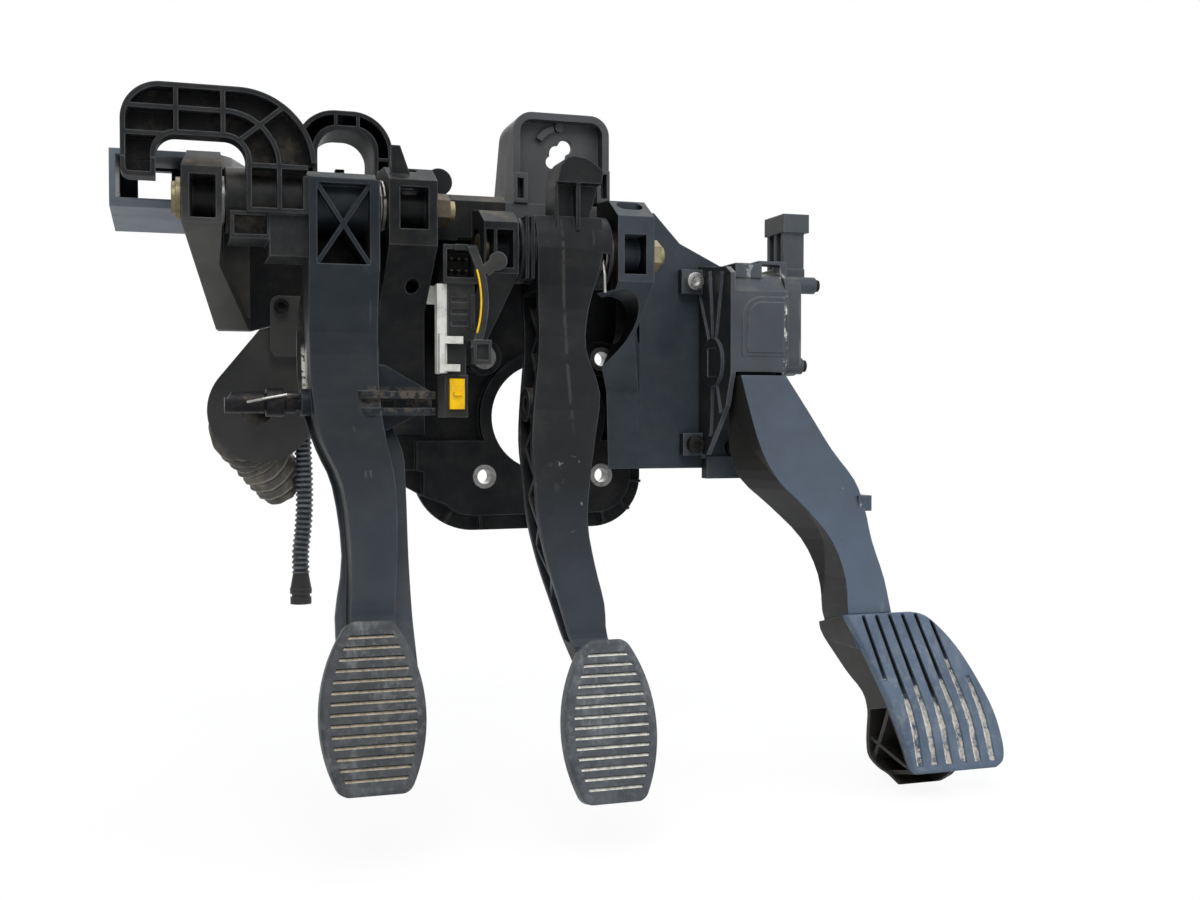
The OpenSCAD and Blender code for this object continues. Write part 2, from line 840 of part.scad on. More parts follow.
// Free end of the hook, below the mouth's corner
module finger_room() {
    box([-245, -150, 100], [-217, -100, 119]);
}
module hook_finger() {
    color(black)
        intersection() {
            hook_cells();
            finger_room();
        }
}
module clutch_hook() {
    color(black)
        difference() {
            union() {
                difference() {
                    hook_cells();
                    finger_room();
                }
                xrod(-186.5, split_x, cy, cz, clutch_hub_r);
                box([-185, -127, 84], [-166, -96, 97]);
                box([-167, -128, 76], [split_x, -95, 97]);
                box([-178, -120, 90], [split_x, -95, 113]);
            }
            xrod(-200, split_x + 1, cy, cz, hub_bush_r);
            box([split_x, -140, 96], [-130, -90, cz + clutch_hub_r + 0.4]);
            box([-183, -128, 86.2], [-168, -122, 95]);
        }
}
module brake_arm() {
    color(black)
        difference() {
            union() {
                difference() {
                    arm_solid(brake_front, brake_side, 0, 0, 0);
                    intersection() {
                        yslab(-260, 20)
                            polygon(band(brake_front, 3, -30, wall + 1));
                        xslab(-260, 260)
                            polygon(band(brake_side, 3, wall + 1, wall));
                        box([-100, -300, -108], [60, 20, 64]);
                    }
                    pad_room(brake_pad_at, brake_pad_w, brake_pad_h);
                }
                intersection() {
                    arm_solid(brake_front, brake_side, 0.8, 0.8, -0.8);
                    xslab(-100, 60)
                        for (z = [56 : -24 : -86]) {
                            strip([-100 - 0.35 * (64 - z), z], [-96 - 0.35 * (64 - z) - 36, z - 24], rib);
                            strip([-96 - 0.35 * (64 - z) - 36, z], [-100 - 0.35 * (88 - z), z - 24], rib);
                        }
                }
                xrod(-41.5, 6.3, by, bz, brake_hub_r);
                xrod(-4, 6.3, by, bz, 19);
                for (x = [-40, -37])
                    box([x, by - 17.5, bz - 16], [x + 1.8, by + 10, bz + 16]);
                tee_top();
                xrod(eye_end_x, eye_x, eye_y, eye_z, eye_r + 4.5);
                pad_plate(brake_pad_at, brake_pad_w, brake_pad_h);
            }
            xrod(-60, 20, by, bz, hub_bush_r);
            xrod(-60, 20, eye_y, eye_z, eye_r);
            difference() {
                xrod(0.6, 12, by, bz, 17);
                xrod(0, 13, by, bz, 12.6);
            }
            box([0.6, by - 27, bz - 30], [4.8, by - 13, bz - 2]);
        }
}
horn = [[-24.5, 96], [-24, 118], [-21.7, 128.2], [-18.5, 132], [-14.8, 133.2], [-9, 132.4], [-5, 130.7],
    [0.9, 126.4], [-0.2, 117], [-4, 104], [-4, 96]];
module tee_top() {
    yslab(-116, -103)
        polygon(horn);
    yslab(-124, -100)
        intersection() {
            polygon(horn);
            translate([-40, 119.5])
                square([60, 20]);
        }
    yslab(-122.5, -110)
        polygon([[-13.2, 96], [-11, 96], [-11, 121], [-13.2, 121]]);
    yslab(-121, -108)
        intersection() {
            polygon(horn);
            translate([-30, 96])
                square([7.6, 30]);
        }
}

// Clutch hydraulics
cyl_x = -165;
module link_pin() {
    color([0.2, 0.2, 0.21])
        difference() {
            union() {
                xrod(cyl_x - 23, split_x + 1, pin_y, pin_z, pin_r);
                xrod(cyl_x - 23, cyl_x - 5, pin_y, pin_z, pin_r + 1);
                xrod(cyl_x + 5, cyl_x + 9.5, pin_y, pin_z, pin_r + 1);
            }
            translate([cyl_x - 23, pin_y, pin_z + 7])
                rotate([0, 35, 0])
                    cube([8, 20, 8], center = true);
        }
}
module pin_clip() {
    color(steel)
        wire([for (p = [[11.5, -4.5, 3.2], [5, -8.4, 3.6], [-6, -8.2, 1.5], [-13, -5.95, 0]])
            [cyl_x + p[0], pin_y + p[1], pin_z + p[2]]], 0.7, 8, [0, 0, 1]);
}
rod_eye_r = 6.8;
module pushrod() {
    color(steel)
        difference() {
            union() {
                xrod(cyl_x - 4, cyl_x + 4, pin_y, pin_z, rod_eye_r);
                yrod(pin_y + 2, -1, cyl_x, pin_z, 3.6);
                translate([cyl_x, -1.5, pin_z])
                    sphere(r = 4.6);
            }
            xrod(cyl_x - 10, cyl_x + 10, pin_y, pin_z, pin_r + 0.08);
        }
}
piston_y = 5;
module clutch_piston() {
    color([0.75, 0.74, 0.7])
        difference() {
            yrod(piston_y, piston_y + 20, cyl_x, cyl_z, cyl_bore_r - 0.3);
            yrod(piston_y - 1, piston_y + 3, cyl_x, cyl_z, 7);
            for (y = [7, 13])
                difference() {
                    yrod(piston_y + y, piston_y + y + 2.4, cyl_x, cyl_z, cyl_bore_r + 1);
                    yrod(piston_y + y - 1, piston_y + y + 4, cyl_x, cyl_z, cyl_bore_r - 1.8);
                }
        }
}
module clutch_cylinder() {
    color([0.14, 0.14, 0.14])
        difference() {
            union() {
                yrod(0, 76, cyl_x, cyl_z, cyl_r);
                yrod(70, cyl_end, cyl_x, cyl_z, 6);
            }
            yrod(-1, 72, cyl_x, cyl_z, cyl_bore_r);
            yrod(60, cyl_end + 6, cyl_x, cyl_z, 3);
        }
}
module cylinder_plate() {
    color([0.1, 0.1, 0.1])
        difference() {
            union() {
                yslab(-5, 0)
                    union() {
                        translate([-162.5, 3.5])
                            circle(r = 29.5);
                        polygon([[-185.4, 22.1], [-163.5, 49], [-140.5, 55.6], [-128, 55.6], [-133.6, 4]]);
                    }
                yslab(-10, -plate_t)
                    round_rect(-158, 34, -126, 68, 5);
                yslab(-plate_t - 0.5, -4)
                    translate([-156, 34])
                        square([28, 13.8]);
            }
            yrod(-20, 5, cyl_x, cyl_z, 9.2);
            for (x = [-152, -132])
                yrod(-20, 1, x, 62, 2.3);
        }
}
module cylinder_screws() {
    color(steel)
        for (x = [-152, -132])
            difference() {
                union() {
                    yrod(-13.4, -10, x, 62, 4);
                    yrod(-10, 0, x, 62, 2);
                }
                translate([x, -13.5, 62])
                    rotate([-90, 0, 0])
                        cylinder(h = 2, r = 2.2, $fn = 6);
            }
}
boot_r = 17;
boot_tilt = 44;
boot_yaw = -41;
boot_from = 27;
boot_to = 61;
boot_folds = 5;
module cylinder_boot() {
    pitch = (boot_to - boot_from) / boot_folds;
    taper = 4.5 / (boot_to - boot_from);
    color([0.16, 0.14, 0.12])
        difference() {
            translate([-180.5, 0, -6.6])
                rotate([-90 - boot_tilt, 0, boot_yaw])
                    union() {
                        translate([0, 0, -8])
                            cylinder(h = boot_from + 10, r = 10);
                        translate([0, 0, boot_from])
                            cylinder(h = boot_to - boot_from, r1 = boot_r - 1.6, r2 = boot_r - 6.1);
                        for (k = [0 : boot_folds - 1])
                            translate([0, 0, boot_from + (k + 0.25) * pitch])
                                cylinder(h = pitch / 2, r = boot_r - taper * (k + 0.5) * pitch);
                    }
            box([-240, -60, -80], [-100, 0.05, 60]);
            yrod(-1, 100, cyl_x, cyl_z, cyl_r + 0.05);
            xrod(cyl_x, hose_x, hose_y, cyl_z + 3, 4.6);
            translate([hose_x, hose_y, -90])
                cylinder(h = 110, r = hose_r + 0.8);
        }
}
hose_x = -138.5;
hose_y = 8;
hose_top = -6;
hose_route = [[0, 0, 0], [0, 0, -12], [0.4, -0.5, -24], [0.6, -1, -36], [0.4, -1, -48], [-0.4, -0.5, -60],
    [-1.6, 0, -72], [-1.6, 0, -84]];
hose_start = [hose_x, hose_y, hose_top];
hose_end = hose_start + hose_route[len(hose_route) - 1];
module hose_adaptor() {
    color([0.12, 0.12, 0.12])
        difference() {
            union() {
                xrod(-160, hose_x, hose_y, cyl_z + 3, 4.2);
                translate([hose_x, hose_y, cyl_z + 3])
                    sphere(r = 5);
                translate([hose_x, hose_y, hose_top])
                    cylinder(h = cyl_z + 3 - hose_top, r = 4.6);
            }
            yrod(-1, 90, cyl_x, cyl_z, cyl_r);
        }
}
module feed_hose() {
    color(rubber)
        wire([for (p = hose_route) hose_start + p], hose_r, 10, [1, 0, 0]);
}
module hose_fitting() {
    color([0.12, 0.12, 0.12])
        translate(hose_end)
            union() {
                translate([0, 0, -9])
                    cylinder(h = 9, r1 = 6, r2 = 4.4);
                translate([0, 0, -12])
                    cylinder(h = 3, r = 6.2);
                translate([0, 0, -14])
                    cylinder(h = 2, r = 5.2);
                translate([0, 0, -18])
                    cylinder(h = 4, r = 6);
            }
}

// Clutch switch
module switch_lock() {
    color(white)
        union() {
            box([-83.2, -110, 22], [-78, -104, 67.3]);
            box([-80.6, -105, 22], [-78, -93, 67.3]);
            box([-86, -97, 58], [-78, -93, 67.3]);
            box([-82.6, -113.6, 36.8], [-70.4, -111.2, 40.6]);
            box([-82.6, -113.6, 22.8], [-72, -111.2, 26.4]);
            box([-82.6, -113.6, 22], [-79.8, -109, 42]);
        }
}
module switch_body() {
    color(black)
        difference() {
            union() {
                box([-77.9, -111, 39], [-64, -88, 67.5]);
                box([-77.9, -109, 21.2], [-68, -92, 39]);
                box([-80.5, -113, 67.5], [-62.6, -94, 87]);
                box([-75, -115, 84], [-68, -113, 87]);
                box([-66, -112.4, 44], [-64, -111, 62]);
            }
            box([-78.6, -114, 70.5], [-64.4, -98, 84.6]);
            for (z = [46, 52, 58])
                box([-76, -112, z], [-67.5, -110.2, z + 2.5]);
        }
}
module switch_terminals() {
    color(zinc)
        for (x = [-76, -72.2, -68.4])
            for (z = [74, 80])
                box([x, -108, z], [x + 1.6, -98, z + 0.8]);
}
module switch_cage() {
    color(black)
        difference() {
            box([-79.2, -110, -0.5], [-67.2, -91, 21.2]);
            box([-77.4, -112, 3.2], [-68.9, -90, 19.6]);
        }
}
module switch_slider() {
    color(yellow)
        union() {
            box([-77, -112, 3.6], [-69.3, -95, 19.2]);
            box([-75, -113.4, 10.5], [-71, -112, 12.5]);
        }
}
module switch_leaf() {
    color([0.13, 0.13, 0.13])
        difference() {
            union() {
                yslab(-130, -127)
                    union() {
                        intersection() {
                            translate([-122, 57])
                                difference() {
                                    circle(r = 61, $fn = 96);
                                    circle(r = 56.8, $fn = 96);
                                }
                            translate([-75, 34])
                                square([20, 50]);
                        }
                        translate([-56, 77.5])
                            circle(r = 4.6);
                        strip([-63, 72], [-56, 77.5], 6);
                    }
                box([-69, -131.5, 26], [-60, -125, 38]);
            }
            box([-67.5, -132, 28], [-61.5, -129, 36]);
        }
}

// Accelerator module
module accel_profile(d) {
    polygon([[-97 + d, 25], [-97 + d, 70 - d / 2], [-90, 79 - d], [-78, 82 - d], [-60, 82 - d],
        [-50, 80 - d], [-50, 25]]);
}
module accel_housing() {
    color(black)
        difference() {
            union() {
                xslab(87, 117.5)
                    accel_profile(0);
                xslab(84, 87)
                    polygon([[-97, 80], [-90, 84], [-50, 88], [-50, -22], [-62, -22], [-90, 6], [-97, 24]]);
                box([84, -56, -24], [110, -50, 26]);
                box([86, -58, -36], [112, -50, -23]);
                box([71, -56, 71.5], [85, -50, 85.5]);
                box([72, -56, -22.5], [85, -50, -9.5]);
                xrod(82, 84.5, ay, az, 14);
                xslab(82.4, 84.5)
                    intersection() {
                        polygon([[-95, 78], [-90, 81], [-53, 85], [-53, -18], [-62, -18], [-88, 6],
                            [-95, 24]]);
                        for (a = [62, 84, 104, 250, 275])
                            strip([ay, az], [ay + 60 * cos(a), az + 60 * sin(a)], 1.8);
                    }
                yslab(-98.3, -96)
                    union() {
                        translate([103, 36])
                            square([13, 28]);
                        translate([94, 36])
                            square([20, 19]);
                        translate([103, 55])
                            circle(r = 9);
                    }
                yslab(-97.6, -96)
                    union() {
                        translate([103, 34])
                            square([14, 33]);
                        translate([91, 34])
                            square([20, 21]);
                        translate([103, 55])
                            circle(r = 12);
                    }
                box([89, -92, 78], [105, -66, 86]);
            }
            box([90.5, -93, 20], [115, -53, 62]);
            translate([102.7, -62.5, 55])
                cylinder(h = 19, r = 8.6);
            xrod(88.5, 119, ay, az, shaft_r + 0.08);
            for (p = fix_spots)
                yrod(-60, -49, p[0], p[1], 3.1);
            for (s = cover_spots)
                xrod(115.2, 119, s[0], s[1], 1.6);
            box([81, ay - 6, az - 8], [82.6, ay + 6, az + 8]);
        }
}
cover_low = 22;
cover_spots = [[-87, 75], [-57, 75], [-88, 29], [-56, 29]];
function boss_x(s) = s[1] > 50 ? 139.5 : 131;
module accel_cover() {
    color([0.1, 0.11, 0.12])
        difference() {
            union() {
                xslab(117.5, 120)
                    round_rect(-96, cover_low, -51, 81.5, 10);
                xslab(120, 128.5)
                    round_rect(-94, cover_low + 1.5, -52, 80, 10);
                for (s = cover_spots)
                    xrod(118, boss_x(s), s[0], s[1], 4.8);
                box([105, -88, 86], [122, -78, 88]);
                box([118, -88, 76], [122, -78, 88]);
                box([122, -77, 79], [139, -53, 85.5]);
                for (y = [-76, -66.7, -57.4])
                    box([126, y, 84], [139, y + 3.4, 108]);
                box([130, -75, 84], [136, -55, 108]);
                box([125.2, -78, 106.5], [141.3, -52, 117]);
            }
            xslab(117, 126)
                union() {
                    round_rect(-89, 36, -57, 70, 5);
                    round_rect(ay - 9, cover_low + 2, ay + 9, 42, 2);
                }
            box([127, -76.3, 108.6], [139.6, -53.7, 118]);
            for (s = cover_spots)
                xrod(110, 140, s[0], s[1], 1.9);
        }
}
module accel_pins() {
    color(zinc)
        for (x = [132, 136.4])
            for (y = [-71, -65, -59])
                box([x, y, 108.6], [x + 0.8, y + 0.8, 114.6]);
}
module cover_screws() {
    color(steel)
        for (s = cover_spots)
            let (h = boss_x(s))
                difference() {
                    union() {
                        xrod(115.4, h, s[0], s[1], 1.5);
                        xrod(h, h + 2.6, s[0], s[1], 3.4);
                    }
                    translate([h + 1, s[0], s[1]])
                        rotate([0, 90, 0])
                            cylinder(h = 3, r = 1.8, $fn = 6);
                }
}
module fixing_screws() {
    color(steel)
        for (p = fix_spots)
            difference() {
                union() {
                    yrod(-60.6, -56, p[0], p[1], 5);
                    yrod(-57, -42, p[0], p[1], 2.5);
                }
                translate([p[0], -61, p[1]])
                    rotate([-90, 0, 0])
                        cylinder(h = 3.2, r = 2.7, $fn = 6);
            }
}
module sensor_board() {
    color([0.1, 0.3, 0.16])
        box([124.4, -86, 37], [126, -60, 68]);
}
module accel_springs() {
    color(steel)
        for (s = [[7.2, 0.9, 7], [4.6, 0.7, -7]])
            wire([for (k = [0 : 60]) let (a = 360 * 6 * k / 60)
                [102.7 + s[0] * cos(a), -62.5 + s[0] * sin(a), 41.5 + 31 * k / 60]], s[1], 6, [0, 0, 1]);
}
module accel_shaft() {
    color(steel)
        xrod(88.7, 122.4, ay, az, shaft_r);
}
module accel_rotor() {
    color([0.25, 0.25, 0.27])
        difference() {
            xrod(118.2, 122.4, ay, az, 6.4);
            xrod(117, 124, ay, az, shaft_r + fit);
        }
}
module accel_flank() {
    lean = [for (i = [0 : len(accel_front) - 1])
        let (x = accel_front[i][1] + tan(flank_lean) * accel_side[i][1])
            [accel_front[i][0], (x + flank_in[i]) * cos(flank_lean), (x + 14) * cos(flank_lean)]];
    intersection() {
        rotate([0, 0, flank_lean])
            yslab(-420, 120)
                polygon(band(lean, 3, 0, 0));
        xslab(-260, 260)
            polygon(band(accel_side, 3, 0.4, 0.4));
        box([60, -300, -118], [200, 20, 2]);
    }
}
module accel_arm() {
    color(black)
        difference() {
            union() {
                difference() {
                    union() {
                        arm_solid(accel_front, accel_side, 0, 0, 0);
                        accel_flank();
                        box([149, -124, -52], [157, -113, -43.5]);
                    }
                    intersection() {
                        arm_solid(accel_front, accel_side, wall, wall, 20);
                        box([60, -300, -116], [200, 20, 4]);
                    }
                }
                intersection() {
                    arm_solid(accel_front, accel_side, 1, 1, -2);
                    for (z = [-14 : -20 : -94])
                        box([60, -300, z], [200, 20, z + rib]);
                }
                xrod(91.2, 114.3, ay, az, 12);
                xslab(91.2, 114.3)
                    polygon([[-91.5, 23.6], [-100, 22], [-104, 6], [-80, 6], [-66, 22], [-70, 40],
                        [-82, 38]]);
                box([94, -74, 28], [111, -55, 38]);
                accel_foot();
            }
            xrod(80, 130, ay, az, shaft_r + fit);
            pad_place(accel_pad_at, accel_pad_tilt)
                box([-70, -20, -60], [70, 0, accel_pad_keys[0][0] + 0.4]);
        }
}
function left_strip(keys, from, to) = [for (k = keys) [k[0], k[1] + from, k[1] + to]];
function above(keys, z) = [for (k = keys) if (k[0] > z) k];
module foot_solid(low, high) {
    xslab(-80, 60)
        polygon(band(foot_side, 3, low, high));
}
// Channel behind the pad: a closed left flank above, crossed ribs below, a rear wall and a right wall
module accel_foot() {
    heel = concat(accel_pad_keys, [[-46, -13, 34]]);
    pad_place(accel_pad_at, accel_pad_tilt)
        union() {
            yslab(0, 4)
                polygon(band(accel_pad_keys, 3, 1.5, 1.5));
            intersection() {
                foot_solid(0, 0);
                yslab(-1, 50)
                    union() {
                        polygon(band(left_strip(above(heel, -6), 1.5, 4.5), 3, 0, 0));
                        polygon(band(left_strip(heel, foot_w - 3, foot_w), 3, 0, 0));
                    }
            }
            intersection() {
                difference() {
                    foot_solid(0, 0);
                    foot_solid(-30, 3);
                }
                yslab(-1, 50)
                    polygon(band(left_strip(heel, 1.5, foot_w), 3, 0, 0));
            }
            intersection() {
                foot_solid(0, 1);
                yslab(-1, 50)
                    polygon(band(left_strip(heel, 3, foot_w - 1), 3, 0, 0));
                xslab(-60, 60) {
                    strip([1, -1], [24, -1], rib);
                    strip([1, -3], [41, -32], rib);
                    strip([40, -18], [2, -40], rib);
                    strip([1, -39.6], [32, -39.6], rib);
                }
            }
        }
}
// Outline of one pad slot, k places from the middle one, between two heights
slot_w = 3;
slot_deep = 2.6;
function slot_line(k, z0, z1) = [for (p = spline(accel_slot_keys, 6)) if (p[0] < z0 && p[0] > z1)
    [p[1] + k * (8.4 - 0.012 * p[0]), p[0]]];
module pad_slot(k, z0, z1) {
    line = slot_line(k, z0, z1);
    m = len(line) - 1;
    polygon(concat([for (p = line) p - [slot_w / 2, 0]], [for (i = [m : -1 : 0]) line[i] + [slot_w / 2, 0]]));
    for (p = [line[0], line[m]])
        translate(p)
            circle(r = slot_w / 2, $fn = 24);
}
module accel_pad() {
    side = (slot_n - 1) / 2;
    color(rubber)
        pad_place(accel_pad_at, accel_pad_tilt)
            difference() {
                yslab(-5, 0)
                    polygon(band(accel_pad_keys, 4, 0, 0));
                yslab(-6, slot_deep - 5)
                    for (k = [-side : side])
                        pad_slot(k, k == 3 ? 8 : k == 2 ? 39 : 43, k == -3 ? 10 : -36);
            }
}

firewall_plate();
clutch_cheek();
side_tray();
upper_arch();
centre_wall();
brake_saddle();
upper_tower();
brake_ear();
side_plate();
flange_bushes();
clutch_bolt();
clutch_nut();
clutch_sleeve();
clutch_bushes();
clutch_washers();
clutch_spring();
clutch_hook();
hook_finger();
clutch_arm();
clutch_pad();
link_pin();
pin_clip();
pushrod();
clutch_piston();
clutch_cylinder();
cylinder_plate();
cylinder_screws();
cylinder_boot();
hose_adaptor();
feed_hose();
hose_fitting();
brake_bolt();
brake_nut();
brake_sleeve();
brake_bushes();
brake_washers();
brake_spring();
brake_arm();
brake_pad();
switch_body();
switch_terminals();
switch_lock();
switch_cage();
switch_slider();
switch_leaf();
accel_housing();
accel_cover();
accel_pins();
cover_screws();
fixing_screws();
sensor_board();
accel_springs();
accel_shaft();
accel_rotor();
accel_arm();
accel_pad();
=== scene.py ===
import math

import bmesh
import bpy
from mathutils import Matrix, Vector


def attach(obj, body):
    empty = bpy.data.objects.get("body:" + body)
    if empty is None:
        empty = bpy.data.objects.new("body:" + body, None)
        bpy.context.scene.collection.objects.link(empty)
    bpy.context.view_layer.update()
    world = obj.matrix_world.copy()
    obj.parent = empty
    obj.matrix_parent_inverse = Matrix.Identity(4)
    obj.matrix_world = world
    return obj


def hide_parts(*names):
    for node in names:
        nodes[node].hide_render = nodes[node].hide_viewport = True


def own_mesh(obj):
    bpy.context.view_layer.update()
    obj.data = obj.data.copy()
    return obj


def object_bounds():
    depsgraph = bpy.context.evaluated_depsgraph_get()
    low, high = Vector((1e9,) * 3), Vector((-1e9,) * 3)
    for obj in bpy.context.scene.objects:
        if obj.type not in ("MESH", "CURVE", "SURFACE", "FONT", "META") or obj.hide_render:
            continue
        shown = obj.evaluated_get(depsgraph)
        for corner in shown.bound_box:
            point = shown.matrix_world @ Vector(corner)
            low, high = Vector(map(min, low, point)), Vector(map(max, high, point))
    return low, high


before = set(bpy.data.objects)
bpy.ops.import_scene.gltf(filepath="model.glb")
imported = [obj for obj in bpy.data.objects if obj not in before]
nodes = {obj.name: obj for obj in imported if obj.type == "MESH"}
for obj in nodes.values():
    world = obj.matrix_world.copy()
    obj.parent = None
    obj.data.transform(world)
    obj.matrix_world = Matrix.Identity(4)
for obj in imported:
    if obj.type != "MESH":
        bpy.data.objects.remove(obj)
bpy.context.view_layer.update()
scene = bpy.context.scene
MM = 0.001


def clamp(value, low=0.0, high=1.0):
    return max(low, min(high, value))


def put_in_scene(name, data):
    o = bpy.data.objects.new(name, data)
    scene.collection.objects.link(o)
    return o


# Camera: to the left of the part and a little above level, angles in degrees
CAMERA_AT = (-0.21633, -0.78691, -0.00185)
CAMERA_LEFT = 18.0
CAMERA_DOWN = 1.27
CAMERA_LENS = 40.5
CAMERA_SENSOR = 36.0


def add_camera():
    az, el = math.radians(CAMERA_LEFT), math.radians(CAMERA_DOWN)
    forward = Vector((math.sin(az) * math.cos(el), math.cos(az) * math.cos(el), -math.sin(el)))
    data = bpy.data.cameras.new("camera")
    data.sensor_fit = "HORIZONTAL"
    data.sensor_width = CAMERA_SENSOR
    data.lens = CAMERA_LENS
    data.clip_start = 0.01
    cam = put_in_scene("camera", data)
    cam.location = CAMERA_AT
    cam.rotation_euler = forward.to_track_quat("-Z", "Y").to_euler()
    scene.camera = cam


add_camera()


# Materials are built from these small steps; every texture is in the part's own coordinates.
class Nodes:
    def __init__(self, name):
        self.mat = bpy.data.materials.new(name)
        self.mat.use_nodes = True
        self.tree = self.mat.node_tree
        self.shader = self.tree.nodes["Principled BSDF"]
        self.coord = self.add("ShaderNodeTexCoord").outputs["Object"]
        self.geo = self.add("ShaderNodeNewGeometry")

    def add(self, kind, **values):
        n = self.tree.nodes.new(kind)
        for k, v in values.items():
            setattr(n, k, v)
        return n

    def put(self, socket, value):
        """Link an output to the socket, or set a number or colour on it."""
        if hasattr(value, "is_output"):
            self.tree.links.new(value, socket)
        elif isinstance(value, tuple) and len(value) == 3 and socket.type == "RGBA":
            socket.default_value = (*value, 1.0)
        else:
            socket.default_value = value

    def noise(self, scale, detail=3.0, rough=0.55, stretch=None, shift=(0, 0, 0)):
        n = self.add("ShaderNodeTexNoise")
        where = self.coord
        if stretch or any(shift):
            m = self.add("ShaderNodeMapping")
            self.put(m.inputs["Vector"], self.coord)
            m.inputs["Scale"].default_value = stretch or (1, 1, 1)
            m.inputs["Location"].default_value = shift
            where = m.outputs["Vector"]
        self.put(n.inputs["Vector"], where)
        n.inputs["Scale"].default_value = scale
        n.inputs["Detail"].default_value = detail
        n.inputs["Roughness"].default_value = rough
        return n.outputs["Fac"]

    def span(self, value, low, high, out_low=0.0, out_high=1.0):
        """Value from the range low to high, brought to the range out_low to out_high."""
        n = self.add("ShaderNodeMapRange")
        self.put(n.inputs["Value"], value)
        n.inputs["From Min"].default_value = low
        n.inputs["From Max"].default_value = high
        n.inputs["To Min"].default_value = out_low
        n.inputs["To Max"].default_value = out_high
        return n.outputs["Result"]

    def math(self, op, a, b=0.0):
        n = self.add("ShaderNodeMath", operation=op, use_clamp=op in ("MULTIPLY", "ADD"))
        self.put(n.inputs[0], a)
        self.put(n.inputs[1], b)
        return n.outputs[0]

    def times(self, a, b):
        return self.math("MULTIPLY", a, b)

    def plus(self, a, b):
        return self.math("ADD", a, b)

    def mix(self, fac, a, b):
        n = self.add("ShaderNodeMix", data_type="RGBA")
        self.put(n.inputs["Factor"], fac)
        self.put(n.inputs["A"], a)
        self.put(n.inputs["B"], b)
        return n.outputs["Result"]

    def along(self, origin, direction):
        """Distance from origin along direction, in metres."""
        n = self.add("ShaderNodeVectorMath", operation="DOT_PRODUCT")
        self.put(n.inputs[0], self.coord)
        n.inputs[1].default_value = direction
        m = self.add("ShaderNodeMath", operation="SUBTRACT")
        self.put(m.inputs[0], n.outputs["Value"])
        m.inputs[1].default_value = Vector(origin).dot(Vector(direction))
        return m.outputs[0]

    def above(self, height):
        return self.along((0, 0, height), UP)

    def painted(self, name):
        """Value of a mesh attribute."""
        return self.add("ShaderNodeAttribute", attribute_name=name).outputs["Fac"]

    def rounded(self, radius):
        """Normal of a surface whose edges are rounded."""
        n = self.add("ShaderNodeBevel", samples=4)
        n.inputs["Radius"].default_value = radius
        return n.outputs["Normal"]

    def edges(self, radius):
        """1 along the part's edges and 0 on its faces."""
        n = self.add("ShaderNodeVectorMath", operation="DOT_PRODUCT")
        self.put(n.inputs[0], self.rounded(radius))
        self.put(n.inputs[1], self.geo.outputs["Normal"])
        return self.span(n.outputs["Value"], 0.995, 0.82)

    def facing(self, direction, low=0.35, high=0.95):
        """1 where the surface faces the direction."""
        n = self.add("ShaderNodeVectorMath", operation="DOT_PRODUCT")
        self.put(n.inputs[0], self.geo.outputs["Normal"])
        n.inputs[1].default_value = direction
        return self.span(n.outputs["Value"], low, high)

    def spot(self, at, reach):
        """1 inside a soft box around a point, 0 outside it; reach is its half size on each axis."""
        mask = None
        for axis in range(3):
            unit = tuple(1.0 if i == axis else 0.0 for i in range(3))
            far = self.math("ABSOLUTE", self.along(at, unit))
            part = self.span(far, reach[axis], 0.6 * reach[axis])
            mask = part if mask is None else self.times(mask, part)
        return mask

    def bump(self, height, strength, distance, normal=None):
        n = self.add("ShaderNodeBump")
        n.inputs["Strength"].default_value = strength
        n.inputs["Distance"].default_value = distance
        self.put(n.inputs["Height"], height)
        if normal is not None:
            self.put(n.inputs["Normal"], normal)
        return n.outputs["Normal"]

    def done(self, color, rough, normal=None, metal=0.0, specular=0.5):
        s = self.shader
        self.put(s.inputs["Base Color"], color)
        self.put(s.inputs["Roughness"], rough)
        s.inputs["Metallic"].default_value = metal
        s.inputs["Specular IOR Level"].default_value = specular
        if normal is not None:
            self.put(s.inputs["Normal"], normal)
        return self.mat


UP, FRONT, LEFT = (0, 0, 1), (0, -1, 0), (-1, 0, 0)
DUST = (0.24, 0.2, 0.15)
WORN = (0.2, 0.215, 0.235)
CHALK = (0.6, 0.58, 0.54)
BROWN = (0.065, 0.056, 0.046)
SCUFF = (0.3, 0.31, 0.31)
OIL = (0.1, 0.075, 0.05)
HAND_DIRT = (0.11, 0.09, 0.06)
RUBBED_DIRT = (0.14, 0.11, 0.07)
CELL_SHADE = (0.0025, 0.0025, 0.0025)
GROOVE_SHADOW = (0.006, 0.006, 0.006)
NEAR_BLACK = (0.035, 0.034, 0.033)


def pad_axes(tilt):
    """Directions into a pad and up its face."""
    a = math.radians(-tilt)
    return (0.0, math.cos(a), math.sin(a)), (0.0, -math.sin(a), math.cos(a))


